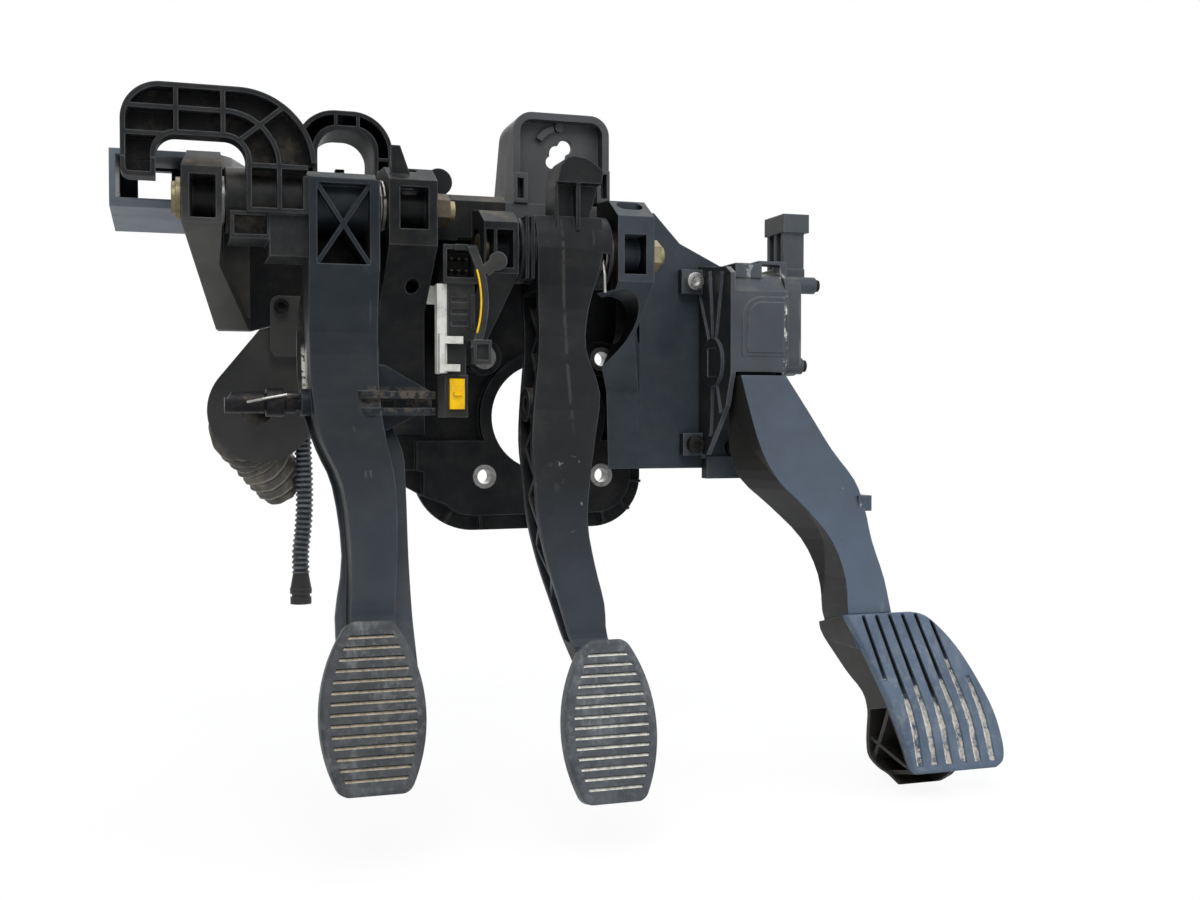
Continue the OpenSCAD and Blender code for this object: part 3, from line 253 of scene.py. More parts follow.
def moulding(name, base, tone, dust, wear, rough, specular, streak=0.0, low=None, side_shading=(), pad_shadow=None,
        cells=None, marks=()):
    """Glass-filled plastic: sparked grain, cloudy tone, worn edges, scratches and settled dust.

    low is (height, height, colour) for painted light: a lighter tone that comes in downwards.
    side_shading holds (direction, low, high, colour) for painted shade: sides that face the direction take
    another tone.
    pad_shadow is (place, tilt, colour) of a pad whose shadow is painted dark on the plastic behind it.
    cells is (depth, depth, dust, height) for ribbed cells: painted shade darkens their floors above the
    height from one depth to the other, and dust is the most that lies on them.
    marks holds (point, reach, colour, least noise) for places that are worn or dirty, and for a painted
    highlight line.
    """
    m = Nodes(name)
    cloud = m.span(m.noise(34.0, 4.0, 0.6), 0.34, 0.68)
    color = m.mix(cloud, base, tone)
    # Painted light: a lighter tone from the height low[0] down to low[1]
    if low:
        lower_light = m.span(m.above(0), low[0], low[1])
        color = m.mix(m.times(lower_light, m.span(cloud, 0.0, 1.0, 0.75, 1.0)), color, low[2])
    # Painted shade on the sides that face away from the light
    for direction, least, most, tint in side_shading:
        color = m.mix(m.facing(direction, least, most), color, tint)
    # Painted shadow on the plastic behind the pad
    if pad_shadow:
        place, tilt, tint = pad_shadow
        out, up = pad_axes(tilt)
        behind = m.span(m.along(place, out), 0.0005, 0.003)
        below = m.span(m.along(place, up), 0.046, 0.04)
        color = m.mix(m.times(behind, below), color, tint)

    scratch = m.span(m.noise(160.0, 2.0, 0.5, (1.0, 1.0, 0.05), (0.3, 0.1, 0.7)), 0.7, 0.76)
    scratched = m.times(scratch, m.span(m.noise(22.0, 2.0), 0.5, 0.66, 0.0, 0.35 + streak))
    color = m.mix(scratched, color, WORN)
    rub = m.times(m.edges(0.0011), m.span(m.noise(70.0, 4.0, 0.7), 0.38, 0.66, 0.16, wear))
    color = m.mix(rub, color, WORN)

    fine = m.span(m.noise(420.0, 2.0, 0.5), 0.52, 0.74)
    patch = m.span(m.noise(48.0, 5.0, 0.68, None, (1.7, 0.4, 2.2)), 0.46, 0.72)
    fall = m.times(m.plus(m.facing(UP), 0.16), patch)
    fall = m.times(fall, m.span(fine, 0.0, 1.0, 0.55 * dust, dust))
    color = m.mix(fall, color, DUST)
    # Painted shade on the floors of the cells; silt is real dust lying on them
    if cells:
        near, far, silt_most, least_height = cells
        painted_shade = m.times(m.span(m.along((0, 0, 0), (0, 1, 0)), near, far), m.facing(FRONT, 0.5, 0.9))
        painted_shade = m.times(painted_shade, m.span(m.above(least_height), -0.004, 0.004))
        color = m.mix(painted_shade, color, CELL_SHADE)
        silt = m.span(m.noise(62.0, 5.0, 0.7, None, (2.0, 1.0, 5.0)), 0.5, 0.72, 0.0, silt_most)
        color = m.mix(m.times(painted_shade, silt), color, DUST)
    # Marks: real wear, dirt and chalk, and a painted highlight line on the brake arm
    for at, reach, tint, least in marks:
        dirt_and_sheen_patches = m.span(m.noise(190.0, 4.0, 0.7, None, (at[0], at[2], 0.3)), least, least + 0.08)
        color = m.mix(m.times(m.spot(at, reach), dirt_and_sheen_patches), color, tint)

    gloss = m.span(m.noise(26.0, 4.0, 0.62, None, (4.0, 1.0, 3.0)), 0.3, 0.7, rough - 0.07, rough + 0.09)
    gloss = m.plus(gloss, m.times(fall, 0.3))
    height = m.plus(m.times(m.noise(2300.0, 2.0, 0.5), 0.7), m.times(scratch, 0.2))
    normal = m.bump(height, 0.12, 0.0003, m.rounded(0.0009))
    return m.done(color, gloss, normal, specular=specular)


def rubber(name, base, tone, dust, rough, fold, crest_sheen, pit_shade):
    """Ridged rubber: the mesh says where its crests and pits are; crest_sheen is the colour of a painted
    highlight on the crests and pit_shade that of painted shade in the pits.
    """
    m = Nodes(name)
    color = m.mix(m.span(m.noise(55.0, 5.0, 0.65), 0.35, 0.7), base, tone)
    smear = m.span(m.noise(85.0, 4.0, 0.7, (1.0, 1.0, 0.3)), 0.45, 0.72, 0.0, dust)
    color = m.mix(smear, color, DUST)
    edge = m.times(m.edges(0.0009), m.span(m.noise(90.0, 3.0), 0.4, 0.7, 0.0, 0.45))
    color = m.mix(edge, color, WORN)
    # Painted shade in the pits
    color = m.mix(m.painted("pit_shade"), color, pit_shade)
    # Painted highlight on the crests, broken up by noise
    dirt_and_sheen_patches = m.span(m.noise(110.0, 4.0, 0.7, None, (0.4, 0.2, 0.9)), 0.3, 0.6, 0.15, 1.0)
    color = m.mix(m.times(m.painted("crest_sheen"), dirt_and_sheen_patches), color, crest_sheen)
    gloss = m.span(m.noise(60.0, 3.0), 0.3, 0.7, rough - 0.06, rough + 0.08)
    height = m.plus(m.noise(1500.0, 3.0), m.times(m.noise(170.0, 3.0, 0.6), fold))
    normal = m.bump(height, 0.2, 0.0004, m.rounded(0.0008))
    return m.done(color, gloss, normal, specular=0.32)


def pad_skin(name, base, tone, pale):
    """Pedal pad: pale dirt packed in the grooves, painted shadow at their deepest edge, scuffs down the
    tread.
    """
    m = Nodes(name)
    color = m.mix(m.span(m.noise(60.0, 4.0, 0.6), 0.36, 0.68), base, tone)
    scuff = m.span(m.noise(95.0, 5.0, 0.72, (1.0, 1.0, 0.22), (0.9, 0.0, 0.2)), 0.53, 0.74, 0.0, 0.5)
    haze = m.span(m.noise(240.0, 4.0, 0.7, None, (0.2, 0.6, 0.1)), 0.5, 0.75, 0.0, 0.45)
    wear = m.times(m.plus(scuff, haze), m.span(m.noise(18.0, 2.0), 0.4, 0.6, 0.2, 0.8))
    color = m.mix(wear, color, SCUFF)
    # Painted shadow at the deepest edge of each groove
    color = m.mix(m.painted("painted_shade"), color, GROOVE_SHADOW)
    ragged = m.span(m.noise(150.0, 5.0, 0.72), 0.32, 0.68, -0.42, 0.22)
    packed = m.span(m.plus(m.painted("dirt"), ragged), 0.42, 0.6)
    grit = m.mix(m.span(m.noise(420.0, 3.0, 0.7), 0.35, 0.65), tuple(0.5 * c for c in pale), pale)
    color = m.mix(packed, color, grit)
    rough = m.plus(m.span(m.noise(40.0, 3.0), 0.3, 0.7, 0.42, 0.56), m.times(packed, 0.35))
    height = m.plus(m.noise(1900.0, 2.0), m.times(m.noise(300.0, 4.0, 0.7), packed))
    return m.done(color, rough, m.bump(height, 0.22, 0.0004), specular=0.2)


def metal(name, base, tone, rough, dirt, dark_below=None):
    """Fine-grained metal with grime in patches; below the height dark_below it turns near black."""
    m = Nodes(name)
    color = m.mix(m.span(m.noise(120.0, 4.0, 0.65), 0.35, 0.7), base, tone)
    if dark_below is not None:
        color = m.mix(m.span(m.above(dark_below), 0.001, -0.001), color, NEAR_BLACK)
    grime = m.span(m.noise(210.0, 5.0, 0.7), 0.5, 0.75, 0.0, dirt)
    color = m.mix(grime, color, OIL)
    grain = m.noise(900.0, 2.0, 0.5)
    gloss = m.plus(m.span(grain, 0.3, 0.7, rough - 0.08, rough + 0.1), m.times(grime, 0.3))
    normal = m.bump(grain, 0.08, 0.0002, m.rounded(0.0004))
    return m.done(color, gloss, normal, metal=1.0)


def tinted(name, base, tone, dirt, rough):
    """Coloured plastic with hand dirt in patches."""
    m = Nodes(name)
    color = m.mix(m.span(m.noise(80.0, 3.0), 0.35, 0.7), base, tone)
    grime = m.span(m.noise(150.0, 5.0, 0.7), 0.5, 0.74, 0.0, dirt)
    color = m.mix(grime, color, HAND_DIRT)
    edge = m.times(m.edges(0.0006), m.span(m.noise(200.0, 3.0), 0.4, 0.7, 0.0, 0.35))
    color = m.mix(edge, color, RUBBED_DIRT)
    gloss = m.span(m.noise(90.0, 3.0), 0.3, 0.7, rough - 0.05, rough + 0.1)
    normal = m.bump(m.noise(1700.0, 2.0), 0.1, 0.0003, m.rounded(0.0005))
    return m.done(color, gloss, normal, specular=0.15)


# Places of the pads' middles in metres and their lean in degrees
CLUTCH_PAD = (-0.1282, -0.189, -0.1293)
BRAKE_PAD = (-0.0182, -0.19, -0.1425)
ACCEL_PAD = (0.175, -0.153, -0.15)
PAD_TILT = 12.0
ACCEL_TILT = 14.0

# A height below the whole part, for cells whose floors take painted shade at every height
ANY_HEIGHT = -1.0

# Mouldings of the pedals
clutch_mat = moulding(
    "clutch_plastic", (0.0078, 0.0104, 0.0132), (0.012, 0.0158, 0.02),
    dust=0.3, wear=0.4, rough=0.4, specular=0.11,
    low=(-0.01, -0.1, (0.033, 0.041, 0.052)),
    side_shading=[(LEFT, 0.4, 0.9, (0.012, 0.012, 0.0118))],
    cells=(-0.12, -0.114, 0.26, ANY_HEIGHT),
    marks=[((-0.1497, -0.113, 0.0195), (0.0014, 0.012, 0.0165), CHALK, 0.4),
        ((-0.106, -0.133, 0.008), (0.022, 0.018, 0.007), BROWN, 0.46)])
brake_mat = moulding(
    "brake_plastic", (0.0052, 0.0062, 0.0072), (0.009, 0.0105, 0.0121),
    dust=0.35, wear=0.4, rough=0.4, specular=0.1,
    low=(-0.03, -0.11, (0.036, 0.044, 0.056)),
    side_shading=[(LEFT, 0.4, 0.9, (0.008, 0.0075, 0.007))],
    marks=[((-0.03, -0.15, -0.03), (0.02, 0.03, 0.04), WORN, 0.66),
        # Painted highlight along the crease down the middle of the arm
        ((-0.0205, -0.13, 0.05), (0.001, 0.08, 0.062), (0.03, 0.0292, 0.0275), 0.42)])
# Accelerator: its light bluish colour is the dark plastic lifted by a painted sheen of the sky on the arm's
# tilted faces
accel_mat = moulding(
    "accel_plastic", (0.037, 0.047, 0.06), (0.051, 0.067, 0.092),
    dust=0.2, wear=0.35, rough=0.42, specular=0.16,
    low=(0.0, -0.08, (0.066, 0.088, 0.125)),
    side_shading=[(LEFT, 0.3, 0.7, (0.017, 0.0165, 0.0155))],
    pad_shadow=(ACCEL_PAD, ACCEL_TILT, (0.019, 0.0175, 0.015)),
    marks=[((0.15, -0.13, -0.06), (0.03, 0.03, 0.06), WORN, 0.68),
        ((0.1525, -0.118, -0.05), (0.004, 0.008, 0.04), CHALK, 0.62)])
hook_mat = moulding(
    "hook_plastic", (0.0075, 0.0082, 0.009), (0.0125, 0.0135, 0.015),
    dust=0.75, wear=0.5, rough=0.44, specular=0.11, streak=0.2,
    cells=(-0.127, -0.121, 0.26, ANY_HEIGHT))

# Mouldings of the bracket
bracket_mat = moulding(
    "bracket_plastic", (0.0045, 0.0051, 0.0058), (0.0105, 0.0118, 0.0132),
    dust=0.55, wear=0.5, rough=0.44, specular=0.09)
cheek_mat = moulding(
    "cheek_plastic", (0.007, 0.0075, 0.008), (0.013, 0.014, 0.015),
    dust=0.8, wear=0.5, rough=0.48, specular=0.14,
    low=(0.098, 0.084, (0.055, 0.0535, 0.0495)))
# Brake ear: painted shade, near black, on its left-facing sides and on the floor of the hollow cut into it
ear_mat = moulding(
    "ear_plastic", (0.024, 0.03, 0.0375), (0.036, 0.0445, 0.0545),
    dust=0.5, wear=0.5, rough=0.44, specular=0.12,
    side_shading=[(LEFT, 0.3, 0.8, (0.002, 0.002, 0.002))],
    cells=(-0.064, -0.056, 0.0, 0.016))
side_mat = moulding(
    "side_plastic", (0.024, 0.03, 0.0375), (0.036, 0.0445, 0.0545),
    dust=0.5, wear=0.5, rough=0.44, specular=0.12)
tower_mat = moulding(
    "tower_plastic", (0.045, 0.047, 0.05), (0.06, 0.063, 0.067),
    dust=0.6, wear=0.5, rough=0.5, specular=0.16,
    side_shading=[(LEFT, 0.4, 0.9, (0.03, 0.03, 0.029))])
tray_mat = moulding(
    "tray_plastic", (0.086, 0.1, 0.122), (0.116, 0.134, 0.16),
    dust=0.6, wear=0.5, rough=0.48, specular=0.16)
arch_mat = moulding(
    "arch_plastic", (0.01, 0.0108, 0.0118), (0.018, 0.0195, 0.021),
    dust=0.9, wear=0.6, rough=0.48, specular=0.06,
    side_shading=[(LEFT, 0.2, 0.8, (0.004, 0.004, 0.004))])

# Accelerator housing, clutch cylinder and switch
sensor_mat = moulding(
    "sensor_plastic", (0.035, 0.04, 0.047), (0.05, 0.057, 0.066),
    dust=0.55, wear=0.7, rough=0.42, specular=0.2, streak=0.2,
    side_shading=[(LEFT, 0.4, 0.9, (0.012, 0.013, 0.0145))],
    marks=[((0.1175, -0.09, 0.05), (0.0016, 0.03, 0.035), CHALK, 0.5),
        ((0.1, -0.085, 0.082), (0.02, 0.03, 0.006), WORN, 0.57)])
plate_mat = moulding(
    "plate_plastic", (0.041, 0.0413, 0.0406), (0.052, 0.052, 0.0505),
    dust=0.5, wear=0.35, rough=0.6, specular=0.1)
switch_mat = moulding(
    "switch_plastic", (0.012, 0.0125, 0.013), (0.024, 0.0245, 0.0245),
    dust=0.8, wear=0.6, rough=0.48, specular=0.16)
fitting_mat = moulding(
    "fitting_plastic", (0.026, 0.026, 0.025), (0.044, 0.042, 0.039),
    dust=0.8, wear=0.6, rough=0.52, specular=0.2)

# Rubber
# Boot: painted highlight and dust along the ridge tops, painted shade just below each ridge
boot_mat = rubber(
    "boot_rubber", (0.048, 0.045, 0.041), (0.088, 0.083, 0.077),
    dust=0.6, rough=0.7, fold=0.9, crest_sheen=(0.34, 0.32, 0.285), pit_shade=(0.018, 0.016, 0.0145))
# Hose: painted highlight on the ridges, painted shade in the grooves
hose_mat = rubber(
    "hose_rubber", (0.026, 0.03, 0.038), (0.038, 0.044, 0.055),
    dust=0.12, rough=0.42, fold=0.0, crest_sheen=(0.16, 0.18, 0.21), pit_shade=(0.005, 0.0055, 0.007))
clutch_pad_mat = pad_skin(
    "clutch_pad_rubber", (0.034, 0.0365, 0.04), (0.057, 0.06, 0.064), pale=(0.44, 0.385, 0.3))
brake_pad_mat = pad_skin(
    "brake_pad_rubber", (0.042, 0.046, 0.052), (0.072, 0.078, 0.086), pale=(0.8, 0.77, 0.7))
# Accelerator pad: its bluish colour is dark rubber lifted by a painted sheen of the sky on the tilted tread
accel_pad_mat = pad_skin(
    "accel_pad_rubber", (0.063, 0.087, 0.126), (0.09, 0.121, 0.17), pale=(0.64, 0.61, 0.55))

# Metals, and plastics with a colour of their own
bush_steel_mat = metal("bush_steel", (0.26, 0.26, 0.255), (0.17, 0.165, 0.155), rough=0.42, dirt=0.5)
screw_mat = metal("screw_steel", (0.6, 0.6, 0.59), (0.5, 0.49, 0.47), rough=0.3, dirt=0.35, dark_below=0.0)
spring_mat = metal("spring_steel", (0.3, 0.3, 0.29), (0.2, 0.19, 0.175), rough=0.38, dirt=0.5)
zinc_mat = metal("zinc_steel", (0.22, 0.193, 0.118), (0.16, 0.138, 0.086), rough=0.5, dirt=0.5)
brown_mat = metal("brown_steel", (0.085, 0.07, 0.054), (0.055, 0.046, 0.037), rough=0.55, dirt=0.5)
dark_mat = metal("dark_steel", (0.02, 0.02, 0.022), (0.012, 0.012, 0.013), rough=0.5, dirt=0.3)
alloy_mat = metal("piston_alloy", (0.06, 0.06, 0.062), (0.045, 0.045, 0.045), rough=0.4, dirt=0.2)
contact_mat = metal("contact_brass", (0.06, 0.055, 0.042), (0.04, 0.036, 0.028), rough=0.4, dirt=0.4)
bush_mat = tinted("bush_plastic", (0.4, 0.38, 0.33), (0.32, 0.29, 0.24), dirt=0.5, rough=0.5)
white_mat = tinted("white_plastic", (0.7, 0.7, 0.67), (0.56, 0.56, 0.52), dirt=0.5, rough=0.46)
yellow_mat = tinted("yellow_plastic", (0.9, 0.53, 0.005), (0.78, 0.44, 0.005), dirt=0.35, rough=0.5)
board_mat = tinted("board_green", (0.03, 0.16, 0.07), (0.04, 0.2, 0.09), dirt=0.2, rough=0.5)

LOOKS = {
    clutch_mat: "clutch_arm",
    brake_mat: "brake_arm",
    accel_mat: "accel_arm",
    hook_mat: "clutch_hook hook_finger",
    bracket_mat: "firewall_plate centre_wall brake_saddle",
    cheek_mat: "clutch_cheek",
    ear_mat: "brake_ear",
    side_mat: "side_plate",
    tower_mat: "upper_tower",
    tray_mat: "side_tray",
    arch_mat: "upper_arch",
    sensor_mat: "accel_housing accel_cover",
    plate_mat: "cylinder_plate clutch_cylinder hose_adaptor",
    switch_mat: "switch_body switch_cage switch_leaf",
    boot_mat: "cylinder_boot",
    hose_mat: "feed_hose",
    fitting_mat: "hose_fitting",
    clutch_pad_mat: "clutch_pad",
    brake_pad_mat: "brake_pad",
    accel_pad_mat: "accel_pad",
    bush_steel_mat: "flange_bushes clutch_washers brake_washers",
    screw_mat: "fixing_screws",
    spring_mat: "clutch_spring brake_spring accel_springs clutch_sleeve brake_sleeve pin_clip",
    zinc_mat: "clutch_bolt brake_bolt brake_nut",
    brown_mat: "clutch_nut",
    dark_mat: "link_pin pushrod cylinder_screws cover_screws accel_shaft accel_rotor",
    alloy_mat: "clutch_piston",
    contact_mat: "switch_terminals accel_pins",
    bush_mat: "clutch_bushes brake_bushes",
    white_mat: "switch_lock",
    yellow_mat: "switch_slider",
    board_mat: "sensor_board",
}
for mat, names in LOOKS.items():
    for n in names.split():
        slots = nodes[n].data.materials
        if len(slots):
            for i in range(len(slots)):
                slots[i] = mat
        else:
            slots.append(mat)


def mesh_object(name, verts, faces, mat, smooth=True, paint=None):
    """Mesh in the scene; paint is a table of attribute names and their values at the vertices."""
    me = bpy.data.meshes.new(name)
    me.from_pydata([tuple(v) for v in verts], [], faces)
    for label, values in (paint or {}).items():
        me.attributes.new(label, "FLOAT", "POINT").data.foreach_set("value", values)
    me.materials.append(mat)
    for p in me.polygons:
        p.use_smooth = smooth
    me.update()
    return put_in_scene(name, me)


def dress(piece, node, body):
    """Show the piece in place of a node, on the same body."""
    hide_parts(node)
    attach(piece, body)


def spline(points, per):
    """Smooth curve through the points, per steps in each span."""
    pts = [Vector(p) for p in points]
    last = len(pts) - 1
    out = []
    for i in range(last):
        a, b, c, d = pts[max(i - 1, 0)], pts[i], pts[i + 1], pts[min(i + 2, last)]
        for k in range(per):
            t = k / per
            square = (2 * a - 5 * b + 4 * c - d) * t * t
            cube = (3 * b - a - 3 * c + d) * t * t * t
            out.append(0.5 * (2 * b + (c - a) * t + square + cube))
    out.append(pts[-1])
    return out


def ring_faces(rings, sides):
    """Faces of a closed skin over rings of vertices, with a cap at each end."""
    faces = []
    for i in range(rings - 1):
        here, after = i * sides, (i + 1) * sides
        for k in range(sides):
            k2 = (k + 1) % sides
            faces.append((here + k, after + k, after + k2, here + k2))
    faces.append(tuple(range(sides)))
    faces.append(tuple((rings - 1) * sides + k for k in reversed(range(sides))))
    return faces


def tube(name, path, radius, sides, mat, ref=(1, 0, 0), looks=None):
    """Tube along path; radius and the attributes in looks are functions of the distance along it."""
    verts, far = [], 0.0
    paint = {label: [] for label in looks or {}}
    for i, p in enumerate(path):
        if i:
            far += (p - path[i - 1]).length
        d = (path[min(i + 1, len(path) - 1)] - path[max(i - 1, 0)]).normalized()
        u = d.cross(Vector(ref)).normalized()
        v = d.cross(u)
        r = radius(far)
        for k in range(sides):
            a = 2 * math.pi * k / sides
            verts.append(p + r * (math.cos(a) * u + math.sin(a) * v))
        for label, values in paint.items():
            values.extend([looks[label](far)] * sides)
    return mesh_object(name, verts, ring_faces(len(path), sides), mat, paint=paint)


# Corrugated feed hose: the route of the solid in mm from its start, with a ridge every 3 mm
HOSE_START = Vector((-0.1385, 0.008, -0.006))
HOSE_ROUTE = [(0, 0, 0), (0, 0, -12), (0.4, -0.5, -24), (0.6, -1, -36), (0.4, -1, -48), (-0.4, -0.5, -60),
    (-1.6, 0, -72), (-1.6, 0, -84)]
HOSE_STEPS = 24
HOSE_SIDES = 40
HOSE_RIDGE = 0.003
HOSE_R = 0.00455
HOSE_WAVE = 0.00045


def hose_wave(far):
    """1 on a ridge and -1 in a groove."""
    return clamp(1.6 * math.cos(2 * math.pi * far / HOSE_RIDGE), -1.0, 1.0)


def hose_radius(far):
    return HOSE_R + HOSE_WAVE * hose_wave(far)


# Painted highlight on each ridge of the hose and painted shade in each groove
HOSE_LOOKS = {
    "crest_sheen": lambda far: clamp(1.6 * hose_wave(far) - 0.6),
    "pit_shade": lambda far: clamp(-1.5 * hose_wave(far)),
}
hose_path = spline([HOSE_START + Vector(p) / 1000 for p in HOSE_ROUTE], HOSE_STEPS)
hose = tube("hose_corrugated", hose_path, hose_radius, HOSE_SIDES, hose_mat, looks=HOSE_LOOKS)
dress(hose, "feed_hose", "bracket")


# Bellows behind the cylinder plate, over the solid of the boot: crosswise ridges and a flat end.
# BOOT_FROM and BOOT_TO are distances along its axis, and its rings turn to the axis over BOOT_BEND.
BOOT_AT = Vector((-0.175, 0.0, -0.0066))
BOOT_TILT = 44.0
BOOT_YAW = 50.0
BOOT_FROM = 0.002
BOOT_TO = 0.05
BOOT_BEND = 0.024
BOOT_SIDES = 72
BOOT_RINGS = 84
BOOT_FOLDS = 7.0
BOOT_R = 0.016
BOOT_TAPER = 0.0022
BOOT_RIDGE = 0.0014
BOOT_END = 0.0016
PLATE_BACK = 0.0003
HOSE_ROOM = 0.0061


def boot_fold(far, a):
    """Share along the boot, and place in its fold from one ridge (0) to the next (1), at an angle a."""
    s = clamp((far - BOOT_FROM) / (BOOT_TO - BOOT_FROM))
    return s, (BOOT_FOLDS * s + 0.12 * math.sin(a + 0.6) + 0.05 * math.sin(3 * a)) % 1.0


def boot_radius(far, a):
    """Radius at a distance along the axis and an angle a: sharp ridges that lean, with creases across."""
    s, fold = boot_fold(far, a)
    ridge = abs(2 * fold - 1.0) ** 2.5
    crease = 0.00025 * math.sin(5 * a + 9 * s) + 0.0002 * math.sin(11 * a - 17 * s)
    end = clamp((s - 0.95) / 0.05)
    return BOOT_R - BOOT_TAPER * s + BOOT_RIDGE * ridge + crease - BOOT_END * end * end


def add_boot():
    tilt, yaw = math.radians(BOOT_TILT), math.radians(BOOT_YAW)
    axis = Vector((math.sin(yaw) * math.cos(tilt), math.cos(yaw) * math.cos(tilt), -math.sin(tilt)))
    verts, crest_sheen, pit_shade = [], [], []
    rings = [BOOT_FROM + k * (BOOT_TO - BOOT_FROM) / BOOT_RINGS for k in range(BOOT_RINGS + 1)]
    for far in rings:
        face = Vector((0, 1, 0)).lerp(axis, clamp(far / BOOT_BEND)).normalized()
        side = face.cross(Vector(UP)).normalized()
        up = side.cross(face)
        for k in range(BOOT_SIDES):
            a = 2 * math.pi * k / BOOT_SIDES
            p = BOOT_AT + axis * far + boot_radius(far, a) * (math.cos(a) * side + math.sin(a) * up)
            p.y = max(p.y, PLATE_BACK)
            off = Vector((p.x - HOSE_START.x, p.y - HOSE_START.y, 0.0))
            if off.length < HOSE_ROOM:
                p += off.normalized() * (HOSE_ROOM - off.length)
            verts.append(p)
            fold = boot_fold(far, a)[1]
            # Painted highlight and dust on each ridge top, painted shade just past it
            crest_sheen.append(clamp(6.0 * abs(2 * fold - 1.0) - 4.9))
            pit_shade.append(clamp(1.0 - abs(fold - 0.2) / 0.2))
    faces = ring_faces(len(rings), BOOT_SIDES)
    boot = mesh_object("boot_bellows", verts, faces, boot_mat, paint={"crest_sheen": crest_sheen, "pit_shade": pit_shade})
    dress(boot, "cylinder_boot", "bracket")


add_boot()


# Pedal pads: treads with grooves and rounded rims, over the solids of the pads.
# Sizes are in mm in the pad's own plane, u across it, v up it and depth into it.
PAD_FACE = -5.0
PAD_ROUND = 1.7
CORNER_R = 3.4
RIM_STEPS = (0, 0.2, 0.6, 1.1, 1.7)
END_STEPS = (0, 0.1, 0.35, 0.8, 1.4)


def rolled(room, radius):
    """How far a rounded rim falls back at a distance from the outline."""
    return radius - math.sqrt(radius ** 2 - (radius - clamp(room, 0.0, radius)) ** 2)


def pad_piece(name, node, body, place, tilt, rows, columns, face, back, seat, mat):
    """Closed pad: columns(v) gives the places across a row, face(u, v) the depth, dirt and shade there.

    back is the depth of its rear, and seat is (width of the rim, depth) of the hollow for the arm's plate.
    """
    out, up = (Vector(axis) for axis in pad_axes(tilt))
    at = Vector(place)
    bm = bmesh.new()
    dirt = bm.verts.layers.float.new("dirt")
    painted_shade = bm.verts.layers.float.new("painted_shade")
    grid = []
    for v in rows:
        line = []
        for u in columns(v):
            depth, pale, dark = face(u, v)
            vert = bm.verts.new(at + MM * (Vector((u, 0, 0)) + depth * out + v * up))
            vert[dirt], vert[painted_shade] = pale, dark
            line.append(vert)
        grid.append(line)
    for low, high in zip(grid, grid[1:]):
        for i in range(len(low) - 1):
            bm.faces.new((low[i], low[i + 1], high[i + 1], high[i]))
    bmesh.ops.remove_doubles(bm, verts=bm.verts, dist=0.02 * MM)
    rim = [e for e in bm.edges if e.is_boundary]
    grown = bmesh.ops.extrude_edge_only(bm, edges=rim)["geom"]
    for vert in (g for g in grown if isinstance(g, bmesh.types.BMVert)):
        vert.co += out * (back * MM - (vert.co - at).dot(out))
        vert[dirt] = vert[painted_shade] = 0.0
    loop = [g for g in grown if isinstance(g, bmesh.types.BMEdge) and g.is_boundary]
    cap = bmesh.ops.contextual_create(bm, geom=loop)["faces"]
    bmesh.ops.recalc_face_normals(bm, faces=bm.faces)
    if seat:
        bmesh.ops.inset_individual(bm, faces=cap, thickness=seat[0] * MM, use_even_offset=True)
        bmesh.ops.inset_individual(bm, faces=cap, thickness=0.02 * MM, depth=-seat[1] * MM)
    me = bpy.data.meshes.new(name)
    bm.to_mesh(me)
    bm.free()
    me.materials.append(mat)
    me.shade_smooth()
    me.set_sharp_from_angle(angle=math.radians(50))
    dress(put_in_scene(name, me), node, body)


# Grooved pads of the clutch and the brake: GROOVE_LOW to GROOVE_TOP is a groove's reach about its middle
GROOVES = 14
GROOVE_MARGIN = 7.0
GROOVE_END = 4.2
GROOVE_LOW = -0.8
GROOVE_FLOOR = 0.4
GROOVE_TOP = 0.75
GROOVE_DEEP = 1.3
PAD_LOW = 4.0
BARREL = 0.23
GRIP_BACK = 4.0
GRIP_SEAT = (2.9, 3.9)


def add_grip_pad(name, node, body, place, width, height, mat):
    sag = BARREL * width
    arc = (height * height / 4 + sag * sag) / (2 * sag)
    centres = [(i / (GROOVES - 1) - 0.5) * (height - 2 * GROOVE_MARGIN) for i in range(GROOVES)]

    def half(v):
        bow = math.sqrt(arc * arc - (v + PAD_LOW) ** 2)
        return width / 2 - arc + bow - rolled(height / 2 - abs(v), CORNER_R)

    def columns(v):
        w = half(v)
        side = [w - d for d in RIM_STEPS + (3.0, GROOVE_END, GROOVE_END + 0.5)]
        inner = side[-1]
        return [-u for u in side] + [inner * k / 4 for k in range(-3, 4)] + side[::-1]

    def face(u, v):
        room = half(v) - abs(u)
        depth = PAD_FACE + rolled(min(room, height / 2 - abs(v)), PAD_ROUND)
        off = min((v - c for c in centres), key=abs)
        inside = clamp((room - GROOVE_END) / 0.4)
        slope = clamp((off - GROOVE_LOW) / (GROOVE_FLOOR - GROOVE_LOW))
        wall = clamp((GROOVE_TOP - off) / (GROOVE_TOP - GROOVE_FLOOR - 0.12))
        cut = GROOVE_DEEP * inside * min(slope, wall)
        pale = inside * clamp((off + 0.85) / 0.15) * clamp((GROOVE_FLOOR + 0.1 - off) / 0.1)
        # Painted shadow on the upper part of each groove, above the dirt
        dark = inside * clamp((off - GROOVE_FLOOR) / 0.1) * clamp((0.9 - off) / 0.1)
        return depth + cut, pale, dark

    ends = [height / 2 - d for d in END_STEPS + (2.2, 3.4)]
    steps = (-1.0, -0.85, GROOVE_LOW + 0.1, -0.2, GROOVE_FLOOR, 0.52, GROOVE_TOP, 0.95)
    rows = sorted([-e for e in ends] + ends + [c + d for c in centres for d in steps])
    pad_piece(name, node, body, place, PAD_TILT, rows, columns, face, GRIP_BACK, GRIP_SEAT, mat)


